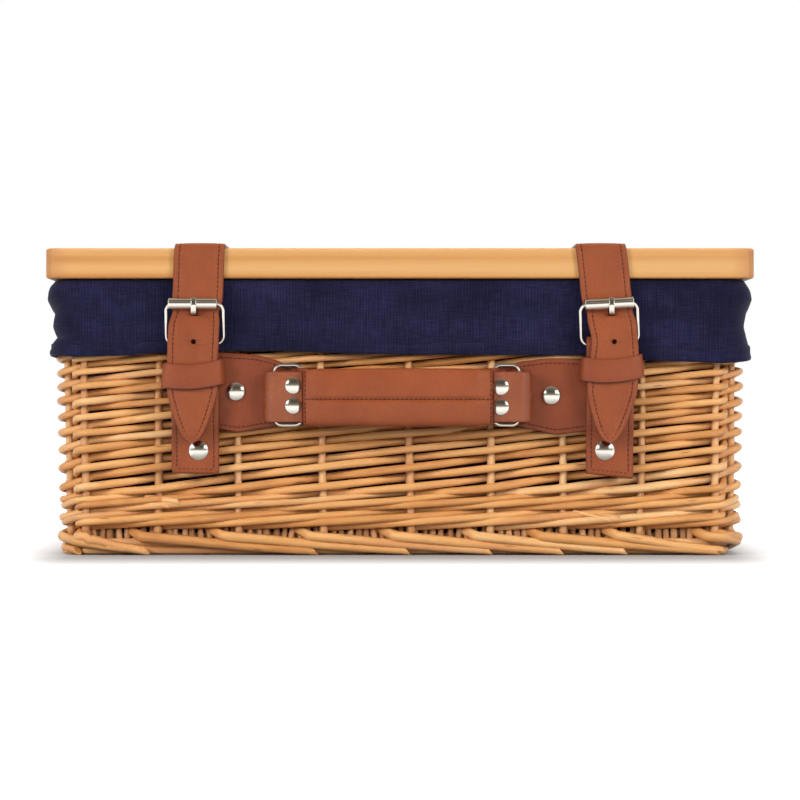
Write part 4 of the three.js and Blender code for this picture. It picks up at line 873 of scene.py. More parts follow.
def lining():
    """One cloth: the cuff from its hem up over the rim, down the inside and in over the floor. Each loop
    is flat place x (half - r) + direction x r, moved out by the folds. Its UV is the length round by the
    length along, and the plain place on the floor."""
    walk, around = rim_walk(5.0)
    s = around[:-1]
    rows = []

    def outline(half_x, half_y, radius):
        return walk[:, :2] * [half_x - radius, half_y - radius] + walk[:, 2:] * radius

    def loop(half_x, half_y, radius, z, push=0.0):
        flat = outline(half_x, half_y, radius) + walk[:, 2:] * np.broadcast_to(push, s.shape)[:, None]
        rows.append(columns(*flat.T, z))

    outer = outline(CUFF_HALF_X, CUFF_HALF_Y, CUFF_CORNER).T
    waves = 117.3 + 1.1 * np.sin(s / 55.0 + 0.8) + 0.6 * np.sin(s / 21.0)
    low = waves + (np.interp(outer[0], HEM_X, HEM_Z) - waves) * step(-outer[1], 120, 150)
    # The hem is turned up inside
    for tuck, rise in ((-1.3, 7.0), (-1.2, 3.0), (-0.9, 0.9), (-0.3, 0.1)):
        loop(CUFF_HALF_X, CUFF_HALF_Y, CUFF_CORNER, low + rise, cuff_out(*outer, s, low, 1.0) + tuck)
    under_lid = LID_BOTTOM - 0.9
    for drop in np.linspace(1.0, 0.0, 34):
        height = under_lid - (under_lid - low) * drop
        push = cuff_out(*outer, s, height, drop) - 1.1 * near(drop, 0, 0.05)
        loop(CUFF_HALF_X, CUFF_HALF_Y, CUFF_CORNER, height, push)
    for inwards, drop in ((3.0, 0.05), (8.0, 0.0), (14.0, 0.0), (17.6, 0.05), (18.6, 0.9)):
        corner = max(CUFF_CORNER - inwards, 3.0)
        loop(CUFF_HALF_X - inwards, CUFF_HALF_Y - inwards, corner, LID_BOTTOM - 0.35 - drop)
    inside = CUFF_HALF_X - 19.4, CUFF_HALF_Y - 18.7
    top, bottom = 162.5, 18.5
    for fall in np.linspace(0.02, 1, 26):
        z = top + (bottom - top) * fall
        lean = TAPER * (z - RIM_TOP) / RIM_TOP
        swell = np.sin(np.pi * fall) ** 0.6
        push = -swell * (1.0 + 0.9 * np.sin(s / 17.0 + 3.0 * fall) + 0.5 * np.sin(s / 7.7 - 4.0 * fall))
        loop(inside[0] + lean, inside[1] + lean, 4.0, z, push)
    floor = inside[0] - TAPER, inside[1] - TAPER
    on_floor = (0.995, 0.985, 0.96, 0.9, 0.82, 0.72, 0.6, 0.48, 0.36, 0.24, 0.12, 0.03)
    for share in on_floor:
        waves = 0.35 * np.sin(walk[:, 0] * share * 9 + 2) * np.sin(walk[:, 1] * share * 7)
        loop(floor[0] * share, floor[1] * share, 4.0 * share, 17.4 + waves * (share < 0.97))
    points = np.stack(rows)
    run = np.append(0, np.cumsum(np.linalg.norm(np.diff(points, axis=0), axis=2).mean(1)))
    count = len(s)
    quads = grid_faces(len(rows), count)
    last = (len(rows) - 1) * count + np.arange(count)
    i, j = (part.ravel() for part in np.indices((len(rows) - 1, count)))
    uv = columns(columns(around[j], around[j + 1], around[j + 1], around[j]),
                 columns(run[i], run[i], run[i + 1], run[i + 1]))
    flat = points.reshape(-1, 3)[:, :2] + [0.0, 400.0]
    uv = np.where((i >= len(rows) - len(on_floor) - 1)[:, None, None], flat[quads], uv)
    return Shape(points, [(quads, True), (last[None], True)]), np.concatenate([uv.reshape(-1, 2), flat[last]])


# Leather

def strap_centre(side, z):
    """Where the strap's middle is across the hamper at a height."""
    soft = [np.interp(z + shift, STRAP_HEIGHTS[::-1], side.strap[::-1]) for shift in (-3, -1, 1, 3)]
    return np.mean(soft, 0)


def strap_half(side, z):
    """Half the strap's width: a little less where it comes out from under the roller, and rounded to a
    point at the tip."""
    body = STRAP_HALF - near(z, 144.0, 4.0) + 0.25 * near(z, 128.0, 9.0) - side.neck * near(z, 128.0, 10.0)
    tip = (STRAP_HALF + 0.25) * np.maximum(np.clip((z - TIP_Z) / TIP_LENGTH, 0, 1) ** 0.46, 0.07)
    return np.minimum(tip, body)


def over_lid(hand, count, knots, spacing):
    """Places in Y and Z from the seam on the lid to its front edge (-1) or back edge (1), round it and on
    down a smooth path."""
    corner_y, corner_z = -hand * (ON_LID_Y + CORNER_BEND), ON_LID_Z - CORNER_BEND
    top = columns(np.linspace(SPLIT_Y, corner_y - 1.5 * hand, count), ON_LID_Z)
    bend = arc((corner_y, corner_z), CORNER_BEND, 90, 90 - 90 * hand, 10)
    return np.concatenate([top, bend, smooth_path(knots, spacing)])


def lifted(points, side):
    """The tail's edge towards the hamper's middle stands off the anchor: y falls by 1.9 mm at that edge,
    in proportion to the distance from the strap's middle line, fading in below the keeper."""
    inner = (points[..., 0] - strap_centre(side, points[..., 2])) * -side.hand / STRAP_HALF
    rise = 1.9 * np.clip(inner + 0.3, 0, 1.4) * (1 - step(points[..., 2], 76.0, 97.0))
    rise = rise + 0.5 * np.clip(inner, 0, 1) * near(points[..., 2], 128.0, 8.0)
    return points - rise[..., None] * Y


def front_strap(side):
    """A band from the seam on the lid, in an arc round its front edge, then on a smooth curve behind the
    roller and down over the anchor."""
    y, z = over_lid(-1, 40, [
        [-156.5, 178.0], [-156.5, 168.0], [-156.5, 157.2], [-156.75, 149.2], [-157.9, 142.7],
        [-159.2, 137.1], [-160.1, 129.0], [-160.15, 122.3], [-159.8, 111.2], [-159.3, 100.1],
        [-159.3, 89.8], [-159.9, 78.0], [-160.7, TIP_Z]], 1.6).T
    path = columns(np.where(z > LID_TOP, side.strap[0], strap_centre(side, z)), y, z)
    # More places near the tip, where the width changes fast
    low = path[z < TIP_Z + 3.4]
    tip = low[0] + (low[-1] - low[0]) * np.linspace(0, 1, 12)[:, None] ** 0.6
    path = np.concatenate([path[z >= TIP_Z + 3.4], tip])
    down = path[:, 1] < ON_LID_Y + CORNER_BEND - 0.1
    half = np.where(down, strap_half(side, path[:, 2]), STRAP_HALF)
    shape = band(path, X, half, STRAP_THICK, groove_inset=3.4, crown=0.35)
    shape.points = lifted(shape.points, side)
    keep = path[:, 2] > TIP_Z + 1.2
    return shape, seams(path[keep], X, half[keep], 3.4, THICK_SEAM, lambda line: lifted(line, side))


def hole_centre(side, y):
    """The spare hole's place on the strap, at a depth in Y."""
    return np.array([strap_centre(side, HOLE_Z) - side.hand * HOLE_IN, y, HOLE_Z])


def cut_holes(leather, side):
    """The prong's slot behind the roller and the spare hole below it."""
    picks = np.array([[0, 0, 0], [1, 0, 0], [1, 1, 0], [0, 1, 0], [0, 0, 1], [1, 0, 1], [1, 1, 1], [0, 1, 1]])
    quads = [[0, 3, 2, 1], [4, 5, 6, 7], [0, 1, 5, 4], [1, 2, 6, 5], [2, 3, 7, 6], [3, 0, 4, 7]]
    places = np.where(picks, (side.prong + 1.9, -150, 146.6), (side.prong - 1.9, -170, 142.0))
    slot = Shape(places, [(quads, False)])
    hole = turned([(0, -12), (1.5, -12), (1.5, 12), (0, 12)], hole_centre(side, -159.5), -Y, X, 24)
    for cutter in (slot, hole):
        cut_by(leather, build("cutter", cutter, LEATHER))


def crater(side):
    """The spare hole: a dark cup below the face, a painted shadow in the hole, with the soft raised lip that
    a punch leaves.
    """
    centre, tilt = hole_centre(side, -160.15), unit(np.array([0.0, -1.0, 0.02]))
    lip = bored([(1.35, -0.6), (1.45, 1.1), (1.8, 1.55), (2.3, 1.58), (3.1, 1.35), (3.2, 0.9), (1.8, -0.6)],
                centre, tilt, X, 28)
    # The cup's floor takes the second finish, the hole's painted shadow
    return lip + turned([(0, -0.9), (1.6, -0.9), (1.6, -0.5), (0, -0.5)], centre, tilt, X, 24, finish=1)


def rear_leather(side):
    """A band from the seam on the lid, in an arc over its back edge, then on a smooth curve down past the
    hinge and in to the wicker."""
    y, z = over_lid(1, 18, [
        [156.5, 177.0], [156.6, 164.2], [156.5, 150.0], [156.4, 130.0], [156.0, 119.0],
        [153.4, 110.0], [150.5, 102.5], [150.0, 94.0], [150.0, 68.2]], 1.8).T
    path = columns(side.lid, y, z)
    half = STRAP_HALF * np.clip((z - 66.0) / 3.0, 0.8, 1.0) ** 0.5
    return band(path, -X, half, STRAP_THICK), seams(path, -X, half, 3.0, THICK_SEAM)


def strap_anchor(side):
    """A band in an arc round the heel bar, its two legs one on the other down to the rivet. Its lower end
    is cut to the slant that the side gives."""
    x = side.buckle
    low = smooth_path([[-151.9, 48.9], [-151.9, 60.0], [-152.0, 68.0], [-153.2, 72.5], [-155.8, 78.0],
                       [-156.0, 92.0], [-156.0, 112.0], [-157.2, 121.5]], 1.7)
    back = smooth_path([[-153.2, 122.3], [-153.8, 118.8], [-153.9, 112.0], [-153.9, 92.0], [-153.8, 78.0],
                        [-151.4, 72.0], [-149.9, 68.0], [-149.8, 60.0], [-149.8, 48.9]], 1.7)
    eye = arc((HEEL_Y, HEEL_Z), EYE_RADIUS, 200, -20, 15)
    path = columns(x, *np.concatenate([low, eye, back]).T)
    half = 14.0 - 0.7 * (1 - np.clip(path[:, 2] - 48.7, 0, 1)) ** 2
    shape = band(path, -X, half, ANCHOR_THICK)
    keep = np.flatnonzero((low[:, 1] < 118) & (low[:, 1] > 51.6))
    sewn = seams(path[keep], -X, half[keep], 3.1, THIN_SEAM)
    across = columns(np.linspace(x - 10.9, x + 10.9, 12), -152.76, 51.8)
    sewn = sewn + stitches(across, np.broadcast_to(-Y, across.shape))
    left_end, right_end = side.anchor_end
    for part in (shape, sewn):
        slant = (left_end + right_end) / 2 + (right_end - left_end) * (part.points[:, 0] - x) / 28 - 48.9
        part.points[:, 2] += slant * (1 - step(part.points[:, 2], 50, 84))
    return shape, sewn


def keeper(side):
    """A closed band round strap and anchor. Its front hangs in a shallow curve, z = z0 + a u + b u^2 for u
    from -1 to 1 across it, and is a little wider along its lower edge."""
    x, level, rise, bow, half_x, half = side.keeper
    quarter = [(7.0, -163.0), (half_x - 4.6, -162.2), (half_x - 1.2, -160.6), (half_x - 0.1, -158.0),
               (half_x, -155.0), (half_x - 1.0, -152.9), (half_x - 4.0, -151.9), (0.0, -151.9)]
    other = [(-along, y) for along, y in quarter]
    loop = smooth_path(other[4::-1] + quarter + other[6:3:-1], 1.2)[:-1]
    u = loop[:, 0] / half_x
    to_front = step(-loop[:, 1], 153.0, 160.5)
    path = columns(x + loop[:, 0], loop[:, 1], level + rise * u + bow * (u**2 * to_front + (1 - to_front)))
    shape = band(path, Z, half, 1.45, closed=True, groove=0, crown=0.1, groove_inset=2.0)
    spread = (level - shape.points[:, 2]) / half * 0.035
    shape.points[:, 0] += (shape.points[:, 0] - x) * spread
    return shape


def handle_anchor(side):
    """A band riveted to the wicker, whose half width along its path draws a blunt arrow, and whose end
    goes in an arc round the ring's inner bar."""
    pivot, outer = PIVOT_HALF, abs(side.buckle - HANDLE_X) + 8.5
    knots = [(outer, -149.85), (outer - 10, -149.85), (outer - 25, -149.9), (pivot + 22, -149.95),
             (pivot + 13, -150.2), (pivot + 7.4, -151.3), (pivot + 3.3, -153.6), (pivot + EYE_RADIUS, RING_Y)]
    along, y = smooth_path([*knots, *arc((pivot, RING_Y), EYE_RADIUS, -10, -235, 15)[1:]], 1.3).T
    half = np.interp(along - pivot, *side.plate_half)
    half = np.convolve(np.pad(half, 3, "edge"), np.ones(7) / 7, "valid")
    path = columns(HANDLE_X + side.hand * along, y, HANDLE_Z + np.interp(along - pivot, *side.plate_middle))
    up = Z * -side.hand
    keep = (along > pivot + 5.5) & (along < outer - 22.0)
    return band(path, up, half, ANCHOR_THICK), seams(path[keep], up, half[keep], 3.0, THIN_SEAM)


def tab(side):
    """The band that joins ring and grip, on a smooth curve from the grip's end along the front, round the
    ring's outer bar and back behind."""
    bar, end = PIVOT_HALF + RING_REACH, PIVOT_HALF - 0.3
    along, y = smooth_path([
        (end, -161.7), (bar - 8, -161.8), (bar - 4.5, -161.7), (bar - 1.2, -161.9), (bar + 2.2, -161.0),
        (bar + 4.5, -158.6), (bar + 4.6, -155.2), (bar + 2.8, -152.6), (bar - 0.2, -152.0),
        (bar - 2.4, -153.6), (bar - 3.2, -156.4), (bar - 4.6, -158.8), (bar - 8, -159.65),
        (end, -159.7)], 1.1).T
    ridges = 0.5 * (near(along, bar + 0.4, 1.2) + near(along, bar - 4.2, 1.5)) * (y < -160)
    path = columns(HANDLE_X + side.hand * along, y - ridges, HANDLE_Z + 0.3)
    puffed = ANCHOR_THICK + 0.15 * near(along, bar + 3, 3.0)
    return band(path, Z * side.hand, TAB_HALF, puffed, groove_inset=2.0, groove=0.1, crown=0.08)


def grip_sizes(x):
    """Half thickness, half height and middle of the grip's section at a place along it, and how full it
    is: sewn flat at both ends and padded between."""
    share = (x - GRIP_LOW) / (GRIP_HIGH - GRIP_LOW)
    full = step(share, 0.0, 0.09) * (1 - step(share, 0.91, 1.0))
    half_y = 4.2 + 1.7 * full + 0.15 * np.sin(x / 9.0)
    half_z = 16.5 + 0.65 * full + 0.12 * np.sin(x / 13.0 + 1)
    return half_y, half_z, -164.8 + 0.7 * (1 - full), full


def grip_front(x, z):
    """The front's place in Y: a |1 - |z / b|^n|^(1 / n) with n = 3, less a groove along the seam whose
    lips are puffed."""
    half_y, half_z, middle, full = grip_sizes(x)
    bulge = (1 - np.clip(np.abs(z / half_z), 0, 1) ** 3) ** (1 / 3)
    groove = 1.15 * near(z, GRIP_SEAM, 1.3) - 0.35 * near(z, GRIP_SEAM, 5.5)
    return middle - half_y * bulge + groove * (0.25 + 0.75 * full)


def grip_seam(x, z):
    """Stitches along a line on the grip's front."""
    proud = 0.12
    line = columns(x, grip_front(x, z) - proud, z + HANDLE_Z)
    return stitches(line, np.broadcast_to(-Y, line.shape))


def grip():
    """The padded sleeve: its section's front as grip_front gives it, and behind the middle
    0.8 a (1 - |z / b|^3)^(1 / 3), with fine wrinkles at both ends."""
    x = GRIP_LOW + (GRIP_HIGH - GRIP_LOW) * (0.5 - 0.5 * np.cos(np.pi * np.linspace(0, 1, 96)))
    # Places up the front, crowded round the seam, and fewer down the back
    rise = np.sin(np.linspace(-1, 1, 26) * np.pi / 2)
    fine = GRIP_SEAM / 17 + np.array([-0.22, -0.16, -0.11, -0.07, -0.035, 0, 0.035, 0.07, 0.11, 0.16, 0.22])
    rise = np.sort(np.concatenate([rise[np.abs(rise - GRIP_SEAM / 17) > 0.24], fine]))
    gx, gr = np.meshgrid(x, np.concatenate([rise, rise[-2:0:-1][::2]]), indexing="ij")
    half_y, half_z, middle, _ = grip_sizes(gx)
    z = gr * half_z
    behind = middle + half_y * 0.8 * (1 - np.abs(gr) ** 3) ** (1 / 3)
    ring = np.arange(gr.shape[1])
    y = np.where(ring < len(rise), grip_front(gx, z), behind)
    wrinkle = np.sin(gx / 2.3 + 2 * np.sin(z / 5)) * (near(gx, GRIP_LOW + 7, 5) + near(gx, GRIP_HIGH - 7, 5))
    points = columns(gx, y - 0.14 * wrinkle * (y < middle), z + HANDLE_Z)
    faces = [(grid_faces(len(x), len(ring))[:, ::-1], True), (ring[None], False),
             (ring[None, ::-1] + (len(x) - 1) * len(ring), False)]
    rim = np.where((x < GRIP_LOW + 0.4) | (x > GRIP_HIGH - 0.4), 0.7, 0.0)
    sewn = grip_seam(np.linspace(GRIP_LOW + 1.2, GRIP_HIGH - 1.2, 150), np.full(150, GRIP_SEAM))
    for at in (GRIP_LOW + 1.0, GRIP_HIGH - 0.9):
        sewn = sewn + grip_seam(np.full(60, at), np.linspace(-15.5, 15.5, 60))
    return Shape(points, faces, marks={"edge": np.repeat(rim, len(ring))}), sewn


# Metal

def wire_loop(corners, radii, spacing):
    """A closed line of straight runs joined by arcs, in a plane, at even steps."""
    points = []
    for before, here, after, radius in zip(np.roll(corners, 1, 0), corners, np.roll(corners, -1, 0), radii):
        a, b = unit(before - here), unit(after - here)
        half = np.arccos(np.clip(a @ b, -1, 1)) / 2
        centre = here + unit(a + b) * radius / math.sin(half)
        first, last = (here + way * radius / math.tan(half) for way in (a, b))
        chord = first + (last - first) * np.linspace(0, 1, 9)[:, None]
        points.append(centre + unit(chord - centre) * radius)
    line = np.concatenate(points)
    return even_path(np.concatenate([line, line[:1]]), spacing)[:-1]


def tilted(points, side, centre):
    """Turned about the Y direction through a centre, for the buckle that hangs askew."""
    sine, cosine = math.sin(math.radians(side.tilt)), math.cos(math.radians(side.tilt))
    x, y, z = (points - centre).T
    return columns(x * cosine - z * sine, y, x * sine + z * cosine) + centre


def buckle(side):
    """The frame is a wire round a closed line, the roller a ring spun from its profile with a groove for
    its seam, and the prong a flat band on an eye, bent out of the strap, up and over the roller."""
    heel, roll = np.array([side.buckle, HEEL_Y, HEEL_Z]), np.array([side.buckle, ROLLER_Y, ROLLER_Z])
    up = unit(roll - heel)
    low, half = heel - 0.3 * up, 16.95 * X
    loop = wire_loop(np.array([low + half, roll + half, roll - half, low - half]), [4.6] * 4, 0.7)
    wire = tubes(tilted(loop, side, heel)[None], 0.98, np.cross(X, up), sides=14, closed=True)

    centre = roll + X * (side.roller - side.buckle)
    axis = tilted(heel + X, side, heel) - heel
    outer, inner, reach = ROLLER_RADIUS, 2.6, 14.4
    end = [(outer - 0.5, reach), (outer - 0.12, reach - 0.12), (outer, reach - 0.5), (outer, reach / 2)]
    other = [(radius, -height) for radius, height in end[::-1]]
    profile = [*end, (outer, 0), *other, (inner, -reach), (inner, reach)]
    roller = bored(profile, centre, axis, -Y, 64)
    # The sheet's edges meet in a seam
    across = roller.points - centre
    across = across - (across @ axis)[:, None] * axis
    outside = np.linalg.norm(across, axis=1) > 2.8
    seam = 0.3 * near(np.arctan2(across @ Z, across @ -Y), 0.35, 0.08) * outside
    roller.points = roller.points - unit(across) * seam[:, None]

    line = smooth_path([[HEEL_Y + 0.2, HEEL_Z + 2.6], [HEEL_Y - 0.1, HEEL_Z + 8.5], [-154.9, 139.6],
                        [-155.7, 142.3], [-158.2, 143.3], [-162.0, 143.3], [-164.3, 143.6], [-165.3, 144.7],
                        [-165.9, 146.2], [-166.35, 147.9], [-166.1, 150.0], [-165.1, 152.4]], 0.45)
    strip = band(columns(side.prong, *line.T)[::-1], X, 1.6, 1.6, groove=0, crown=0.0, groove_inset=0.3)
    seat = heel + X * (side.prong - side.buckle)
    eye = bored([(2.9, 1.6), (2.9, -1.6), (1.75, -1.6), (1.75, 1.6)], seat, X, -Y, 28)
    return wire, roller, strip + eye


def handle_ring(side):
    """A wire round a closed line, a rectangle with arcs for corners, upright in front of the wicker."""
    inner = HANDLE_X + side.hand * PIVOT_HALF
    outer = HANDLE_X + side.hand * (PIVOT_HALF + RING_REACH + side.bar)
    low, high = HANDLE_Z - 16.2, HANDLE_Z + 19.1
    corners = columns([inner, outer, outer, inner], RING_Y, [low, low, high, high])
    return tubes(wire_loop(corners, [5.2, 4.2, 4.2, 5.2], 0.8)[None], 1.2, -Y, sides=14, closed=True)


def rivet(centre, axis, radius, height, depth, foot=False):
    """A pressed cap, part of a ball whose edge slopes as its height and radius ask, over a thin brim; a
    shank; and, where it goes through the wicker, a washer and a peened end inside."""
    brim, inner = 0.45, radius - 0.12
    slope = 2 * math.atan2(height - brim, inner)
    ball = inner / math.sin(slope)
    turn = np.linspace(0, slope, 12)[1:]
    cap = columns(ball * np.sin(turn), brim + ball * (np.cos(turn) - math.cos(slope)))
    profile = [(0, height), *cap, (radius, brim - 0.08), (radius, brim * 0.5), (radius - 0.35, 0.0),
               (1.6, 0.0), (1.6, -depth)]
    if foot:
        profile += [(6.0, -depth), (6.0, -depth - 0.9), (2.4, -depth - 1.0), (2.0, -depth - 1.7)]
    profile += [(0, -depth - 1.9 * foot)]
    return turned(profile[::-1], np.array(centre), axis, X, 36)


# The hamper put together

def hold(piece, held, *nodes):
    """The piece rides on a body, or, where two bodies are given, stays where it was built; it stands for
    CAD nodes, which are hidden."""
    if isinstance(held, str):
        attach(piece, held)
    else:
        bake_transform(piece)
    if nodes:
        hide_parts(*nodes)


def add(name, shape, finish, held, *nodes):
    """Builds a shape and holds it. Leather that comes with its stitches gets them as a piece beside it."""
    shape, sewn = shape if isinstance(shape, tuple) else (shape, None)
    hold(build(name, shape, finish), held, *nodes)
    if sewn:
        hold(build(f"{name}_stitching", sewn, THREAD), held)


add("randed_rods", randing(), WILLOW, "basket", "woven_front", "woven_back", "woven_left", "woven_right")
add("stakes", stakes(), STAKE, "basket")
add("wale_rods", wale(), WILLOW, "basket", "wale_band")
add("foot_rods", foot_border(), WILLOW, "basket", "foot_border")
add("late_rod_ends", odd_ends(), WILLOW, "basket")
add("base_rods", base_weave(), BASE, "basket", "base_panel")
add("base_edge_turns", edge_strips(), BASE, "basket")

cloth_shape, cloth_uv = lining()
cloth = build("cloth_lining", cloth_shape, CLOTH, corner_uv=cloth_uv)
cloth.modifiers.new("thickness", "SOLIDIFY").thickness = 0.0009
cloth.modifiers["thickness"].offset = -1.0
hold(cloth, "basket", "lining")

for name, side in SIDES.items():
    flip = ("lid", f"strap_{name}", (side.lid / 1000, (-153 + SHIFT_Y) / 1000, 0.1845),
            (side.lid / 1000, (-156 + SHIFT_Y) / 1000, 0.179))
    leather, sewn = front_strap(side)
    strap = build(f"strap_{name}", leather, LEATHER)
    cut_holes(strap, side)
    hold(strap, flip, f"strap_tail_{name}", f"over_strap_{name}")
    add(f"strap_{name}_stitching", sewn, THREAD, flip)
    hold(build(f"spare_hole_lip_{name}", crater(side), LEATHER, PAINTED_HOLE_SHADOW), flip)
    hinge_y = (HINGE_Y + SHIFT_Y) / 1000
    hinge = "basket", "lid", (0, hinge_y, 0.158), (0, hinge_y, 0.1702)
    add(f"rear_leather_{name}", rear_leather(side), LEATHER, hinge, f"rear_anchor_{name}")
    add(f"anchor_{name}", strap_anchor(side), LEATHER, "basket", f"strap_anchor_{name}")
    add(f"keeper_loop_{name}", keeper(side), KEEPER_LEATHER, f"keeper_{name}", f"keeper_{name}")
    add(f"handle_plate_{name}", handle_anchor(side), PLATE_LEATHER, "basket", f"handle_anchor_{name}")
    add(f"tab_{name}", tab(side), TAB_LEATHER_PAINTED_SHEEN, f"tab_{name}", f"handle_tab_{name}")
    wire, roller, prong = buckle(side)
    add(f"frame_{name}", wire, NICKEL, f"buckle_{name}", f"buckle_frame_{name}")
    add(f"roller_{name}", roller, NICKEL, f"roller_{name}", f"buckle_roller_{name}")
    add(f"prong_{name}", prong, NICKEL, f"prong_{name}", f"buckle_prong_{name}")
    add(f"ring_wire_{name}", handle_ring(side), NICKEL, f"ring_{name}", f"handle_ring_{name}")
    for piece, node, seat, axis, *sizes in (
            ("anchor_rivet", "strap_rivet", (side.anchor_rivet, -152.95, 62.4), -Y, 5.75, 2.1, 19.5),
            ("plate_rivet", "handle_rivet", (side.rivet, -151.6, side.rivet_z), -Y, 5.35, 1.95, 17.2),
            ("back_rivet", "rear_rivet", (side.lid, 151.3, 84.0), Y, 5.5, 3.7, 17.5)):
        add(f"{piece}_{name}", rivet(seat, axis, *sizes, foot=True), NICKEL, "basket", f"{node}_{name}")
    for number, z in enumerate(side.tab_rivet_z, 1):
        cap = rivet((side.tab_rivet, -162.95, z), -Y, 4.75, 1.45, 3.9)
        add(f"tab_cap_{name}_{number}", cap, NICKEL, f"tab_{name}", f"tab_rivet_{name}_{number}")
    for place, y in (("front", LID_FRONT + 78), ("rear", -LID_FRONT - 42)):
        tack = rivet((side.lid, y, ON_LID_Z + 1.3), Z, 4.0, 1.8, 12.0)
        add(f"tack_{name}_{place}", tack, NICKEL, "lid", f"strap_tack_{name}_{place}")

sleeve, sewn = grip()
padded = build("grip", sleeve, LEATHER)
hold(padded, "grip", "grip_sleeve", "grip_core")
add("grip_stitching", sewn, THREAD, "grip")

# CAD pieces that stay
KEPT = {"lid_board": PINE, "lid_batten": PINE, "batten_screw": STEEL, "rim_border": BASE}
for name, node in frame["nodes"].items():
    for start, finish in KEPT.items():
        if name.startswith(start):
            node.data.materials.clear()
            node.data.materials.append(finish)


# Floor, light and camera

def floor_finish():
    """White paper. The camera and the metal see it lit as it is, with light of its own that is nought over
    the hamper's footprint and rises farther off, so that it stays white far away and keeps the real shadow;
    round the footprint the missing glow leaves a grey pool, a painted shadow. What it throws back on the
    object is a dull grey."""
    finish = Finish("floor_paper", Base_Color=(0.3, 0.3, 0.3, 1.0), Roughness=0.9, Specular_IOR_Level=0.0)
    # Painted shadow: the floor's own glow is nought over the hamper's footprint and grows away from it,
    # leaving a grey pool round the hamper
    past = finish.vector("SUBTRACT", finish.vector("ABSOLUTE", finish.place()), (0.188, 0.148, 0.0))
    past = finish.vector("MULTIPLY", finish.vector("MAXIMUM", past, (0.0, 0.0, 0.0)), (5.0, 1.4, 0.0))
    away = finish.vector("LENGTH", past, output="Value")
    own = finish.ramp(away, (0.0, 0.0), (0.045, 0.06), (0.09, 0.26), (0.14, 0.5), (0.25, 0.88), (0.5, 1.0))
    glow = finish.node("ShaderNodeEmission", {}, {"Color": own, "Strength": 1.0})
    paper = finish.node("ShaderNodeBsdfDiffuse", {}, {"Color": (0.5, 0.49, 0.48, 1.0), "Roughness": 0.0})
    shown = finish.node("ShaderNodeAddShader", {}, {0: paper, 1: glow})
    dull = Value(finish, finish.shader.outputs[0])
    either = {0: finish.looked_at("Glossy", "Transmission"), 1: dull, 2: shown}
    finish.out_to("OUTPUT_MATERIAL", finish.node("ShaderNodeMixShader", {}, either))
    return finish.material


def glowing(name, strength):
    """A finish that shows by its own light only."""
    return Finish(name, Base_Color=(0.0, 0.0, 0.0, 1.0), Roughness=1.0, Specular_IOR_Level=0.0,
                  Emission_Strength=strength)


def dark_card_finish():
    """Grey-brown, lighter towards the ceiling."""
    finish = glowing("dark_card", 1.0)
    where = finish.place()
    shade = finish.axis(where, "Z") * 0.16 + finish.noise(where, 1.2, 2.0) * 0.12
    return finish.joined(Emission_Color=finish.ramp(shade, (0.08, (158, 147, 132)), (0.3, (86, 78, 68)),
                                                    (0.62, (128, 118, 106)), (0.95, (196, 188, 178))))


def screen_finish():
    """A lit screen, a little uneven."""
    finish = glowing("glow", 2.8)
    soft = finish.noise(finish.place(), 1.0, 1.0)
    return finish.joined(Emission_Color=finish.ramp(soft, (0.2, (236, 236, 236)), (0.8, (255, 255, 255))))


def stage():
    """The floor, a dark card behind the camera and two lit screens at its sides. The card and the
    screens only show in the metal, the leather and the varnish."""
    square = [([[0, 1, 2, 3]], False)]
    plane = columns([-9000, 9000, 9000, -9000], [-3000, -3000, 12000, 12000], -0.15)
    paper = build("floor", Shape(plane, square), floor_finish())
    profile = [(-3300, 200), (-3300, 3200), (-2300, 5200), (-700, 6000), (1500, 6000), (3800, 5000)]
    sheet = [[x, y, z] for y, z in profile for x in (-4200, 4200)]
    bent = [(grid_faces(6, 2, closed_columns=False), False)]
    cards = [build("dark_card", Shape(sheet, bent), dark_card_finish())]
    for name, hand in (("left_glow", -1), ("right_glow", 1)):
        edge = np.array([[hand * 1750.0, -1000.0, 480.0], [hand * 1050.0, -1700.0, 480.0]])
        screen = np.concatenate([edge, edge[::-1] + 700.0 * Z])
        cards.append(build(name, Shape(screen, square), screen_finish()))
    for card in cards:
        for ray in ("camera", "diffuse", "transmission", "shadow", "volume_scatter"):
            setattr(card, f"visible_{ray}", False)


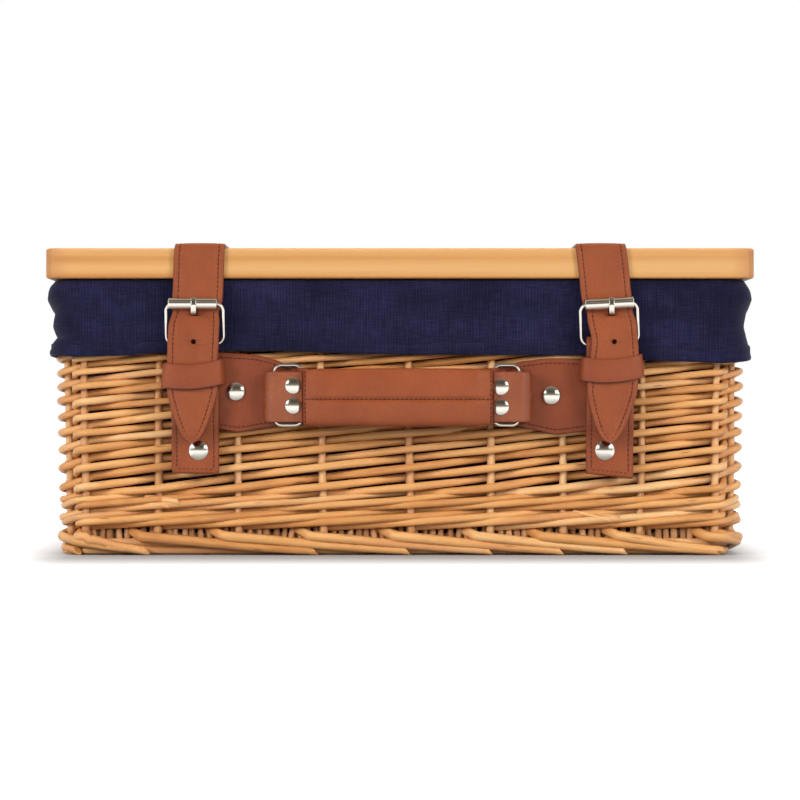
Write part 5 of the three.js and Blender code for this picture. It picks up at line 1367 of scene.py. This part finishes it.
def world():
    """White where the camera, metal or glass looks, and a soft grey for everything that it lights."""
    made = bpy.context.scene.world = bpy.data.worlds.new("studio")
    made.use_nodes = True
    nodes = Nodes(made.node_tree)
    light, white = (nodes.node("ShaderNodeBackground", {}, {"Color": colour, "Strength": strength})
                    for colour, strength in (((0.96, 0.98, 1.0, 1.0), 0.3), ((1.0, 1.0, 1.0, 1.0), 1.0)))
    either = {0: nodes.looked_at("Glossy", "Transmission"), 1: light, 2: white}
    nodes.out_to("OUTPUT_WORLD", nodes.node("ShaderNodeMixShader", {}, either))


def lamp(name, place, target, size, power):
    """A soft rectangular lamp that looks at a point and doesn't show in reflections."""
    data = bpy.data.lights.new(name, "AREA")
    data.shape = "RECTANGLE"
    data.size, data.size_y = size
    data.energy = power
    made = bpy.data.objects.new(name, data)
    bpy.context.scene.collection.objects.link(made)
    made.location = place
    made.visible_glossy = False
    made.rotation_euler = (Vector(target) - Vector(place)).to_track_quat("-Z", "Y").to_euler()


stage()
world()
lamp("left", (-1.45, -1.45, 0.8), (0, 0, 0.08), (0.7, 0.7), 25)
lamp("right", (1.45, -1.45, 0.8), (0, 0, 0.08), (0.7, 0.7), 22.5)
lamp("top", (0, 0.1, 1.9), (0, 0, 0.1), (1.6, 1.2), 11)
lamp("front", (0, -2.0, 0.5), (0, 0, 0.07), (1.2, 0.5), 7)
lamp("back", (0.2, 1.3, 1.7), (0, 0, 0.1), (1.4, 0.8), 13)

# The frame is 0.4732 m wide at the lid's front edge
DISTANCE, FRAME_WIDTH, SENSOR = 2.0, 0.4732, 36
camera = bpy.data.objects.new("camera", bpy.data.cameras.new("camera"))
bpy.context.scene.collection.objects.link(camera)
camera.location = (0, (LID_FRONT + SHIFT_Y) / 1000 - DISTANCE, 0.0923)
camera.rotation_euler = (math.pi / 2, 0, 0)
camera.data.sensor_width = SENSOR
camera.data.lens = SENSOR * DISTANCE / FRAME_WIDTH
camera.data.clip_end = 40
bpy.context.scene.camera = camera
bpy.context.scene.view_settings.view_transform = "Standard"
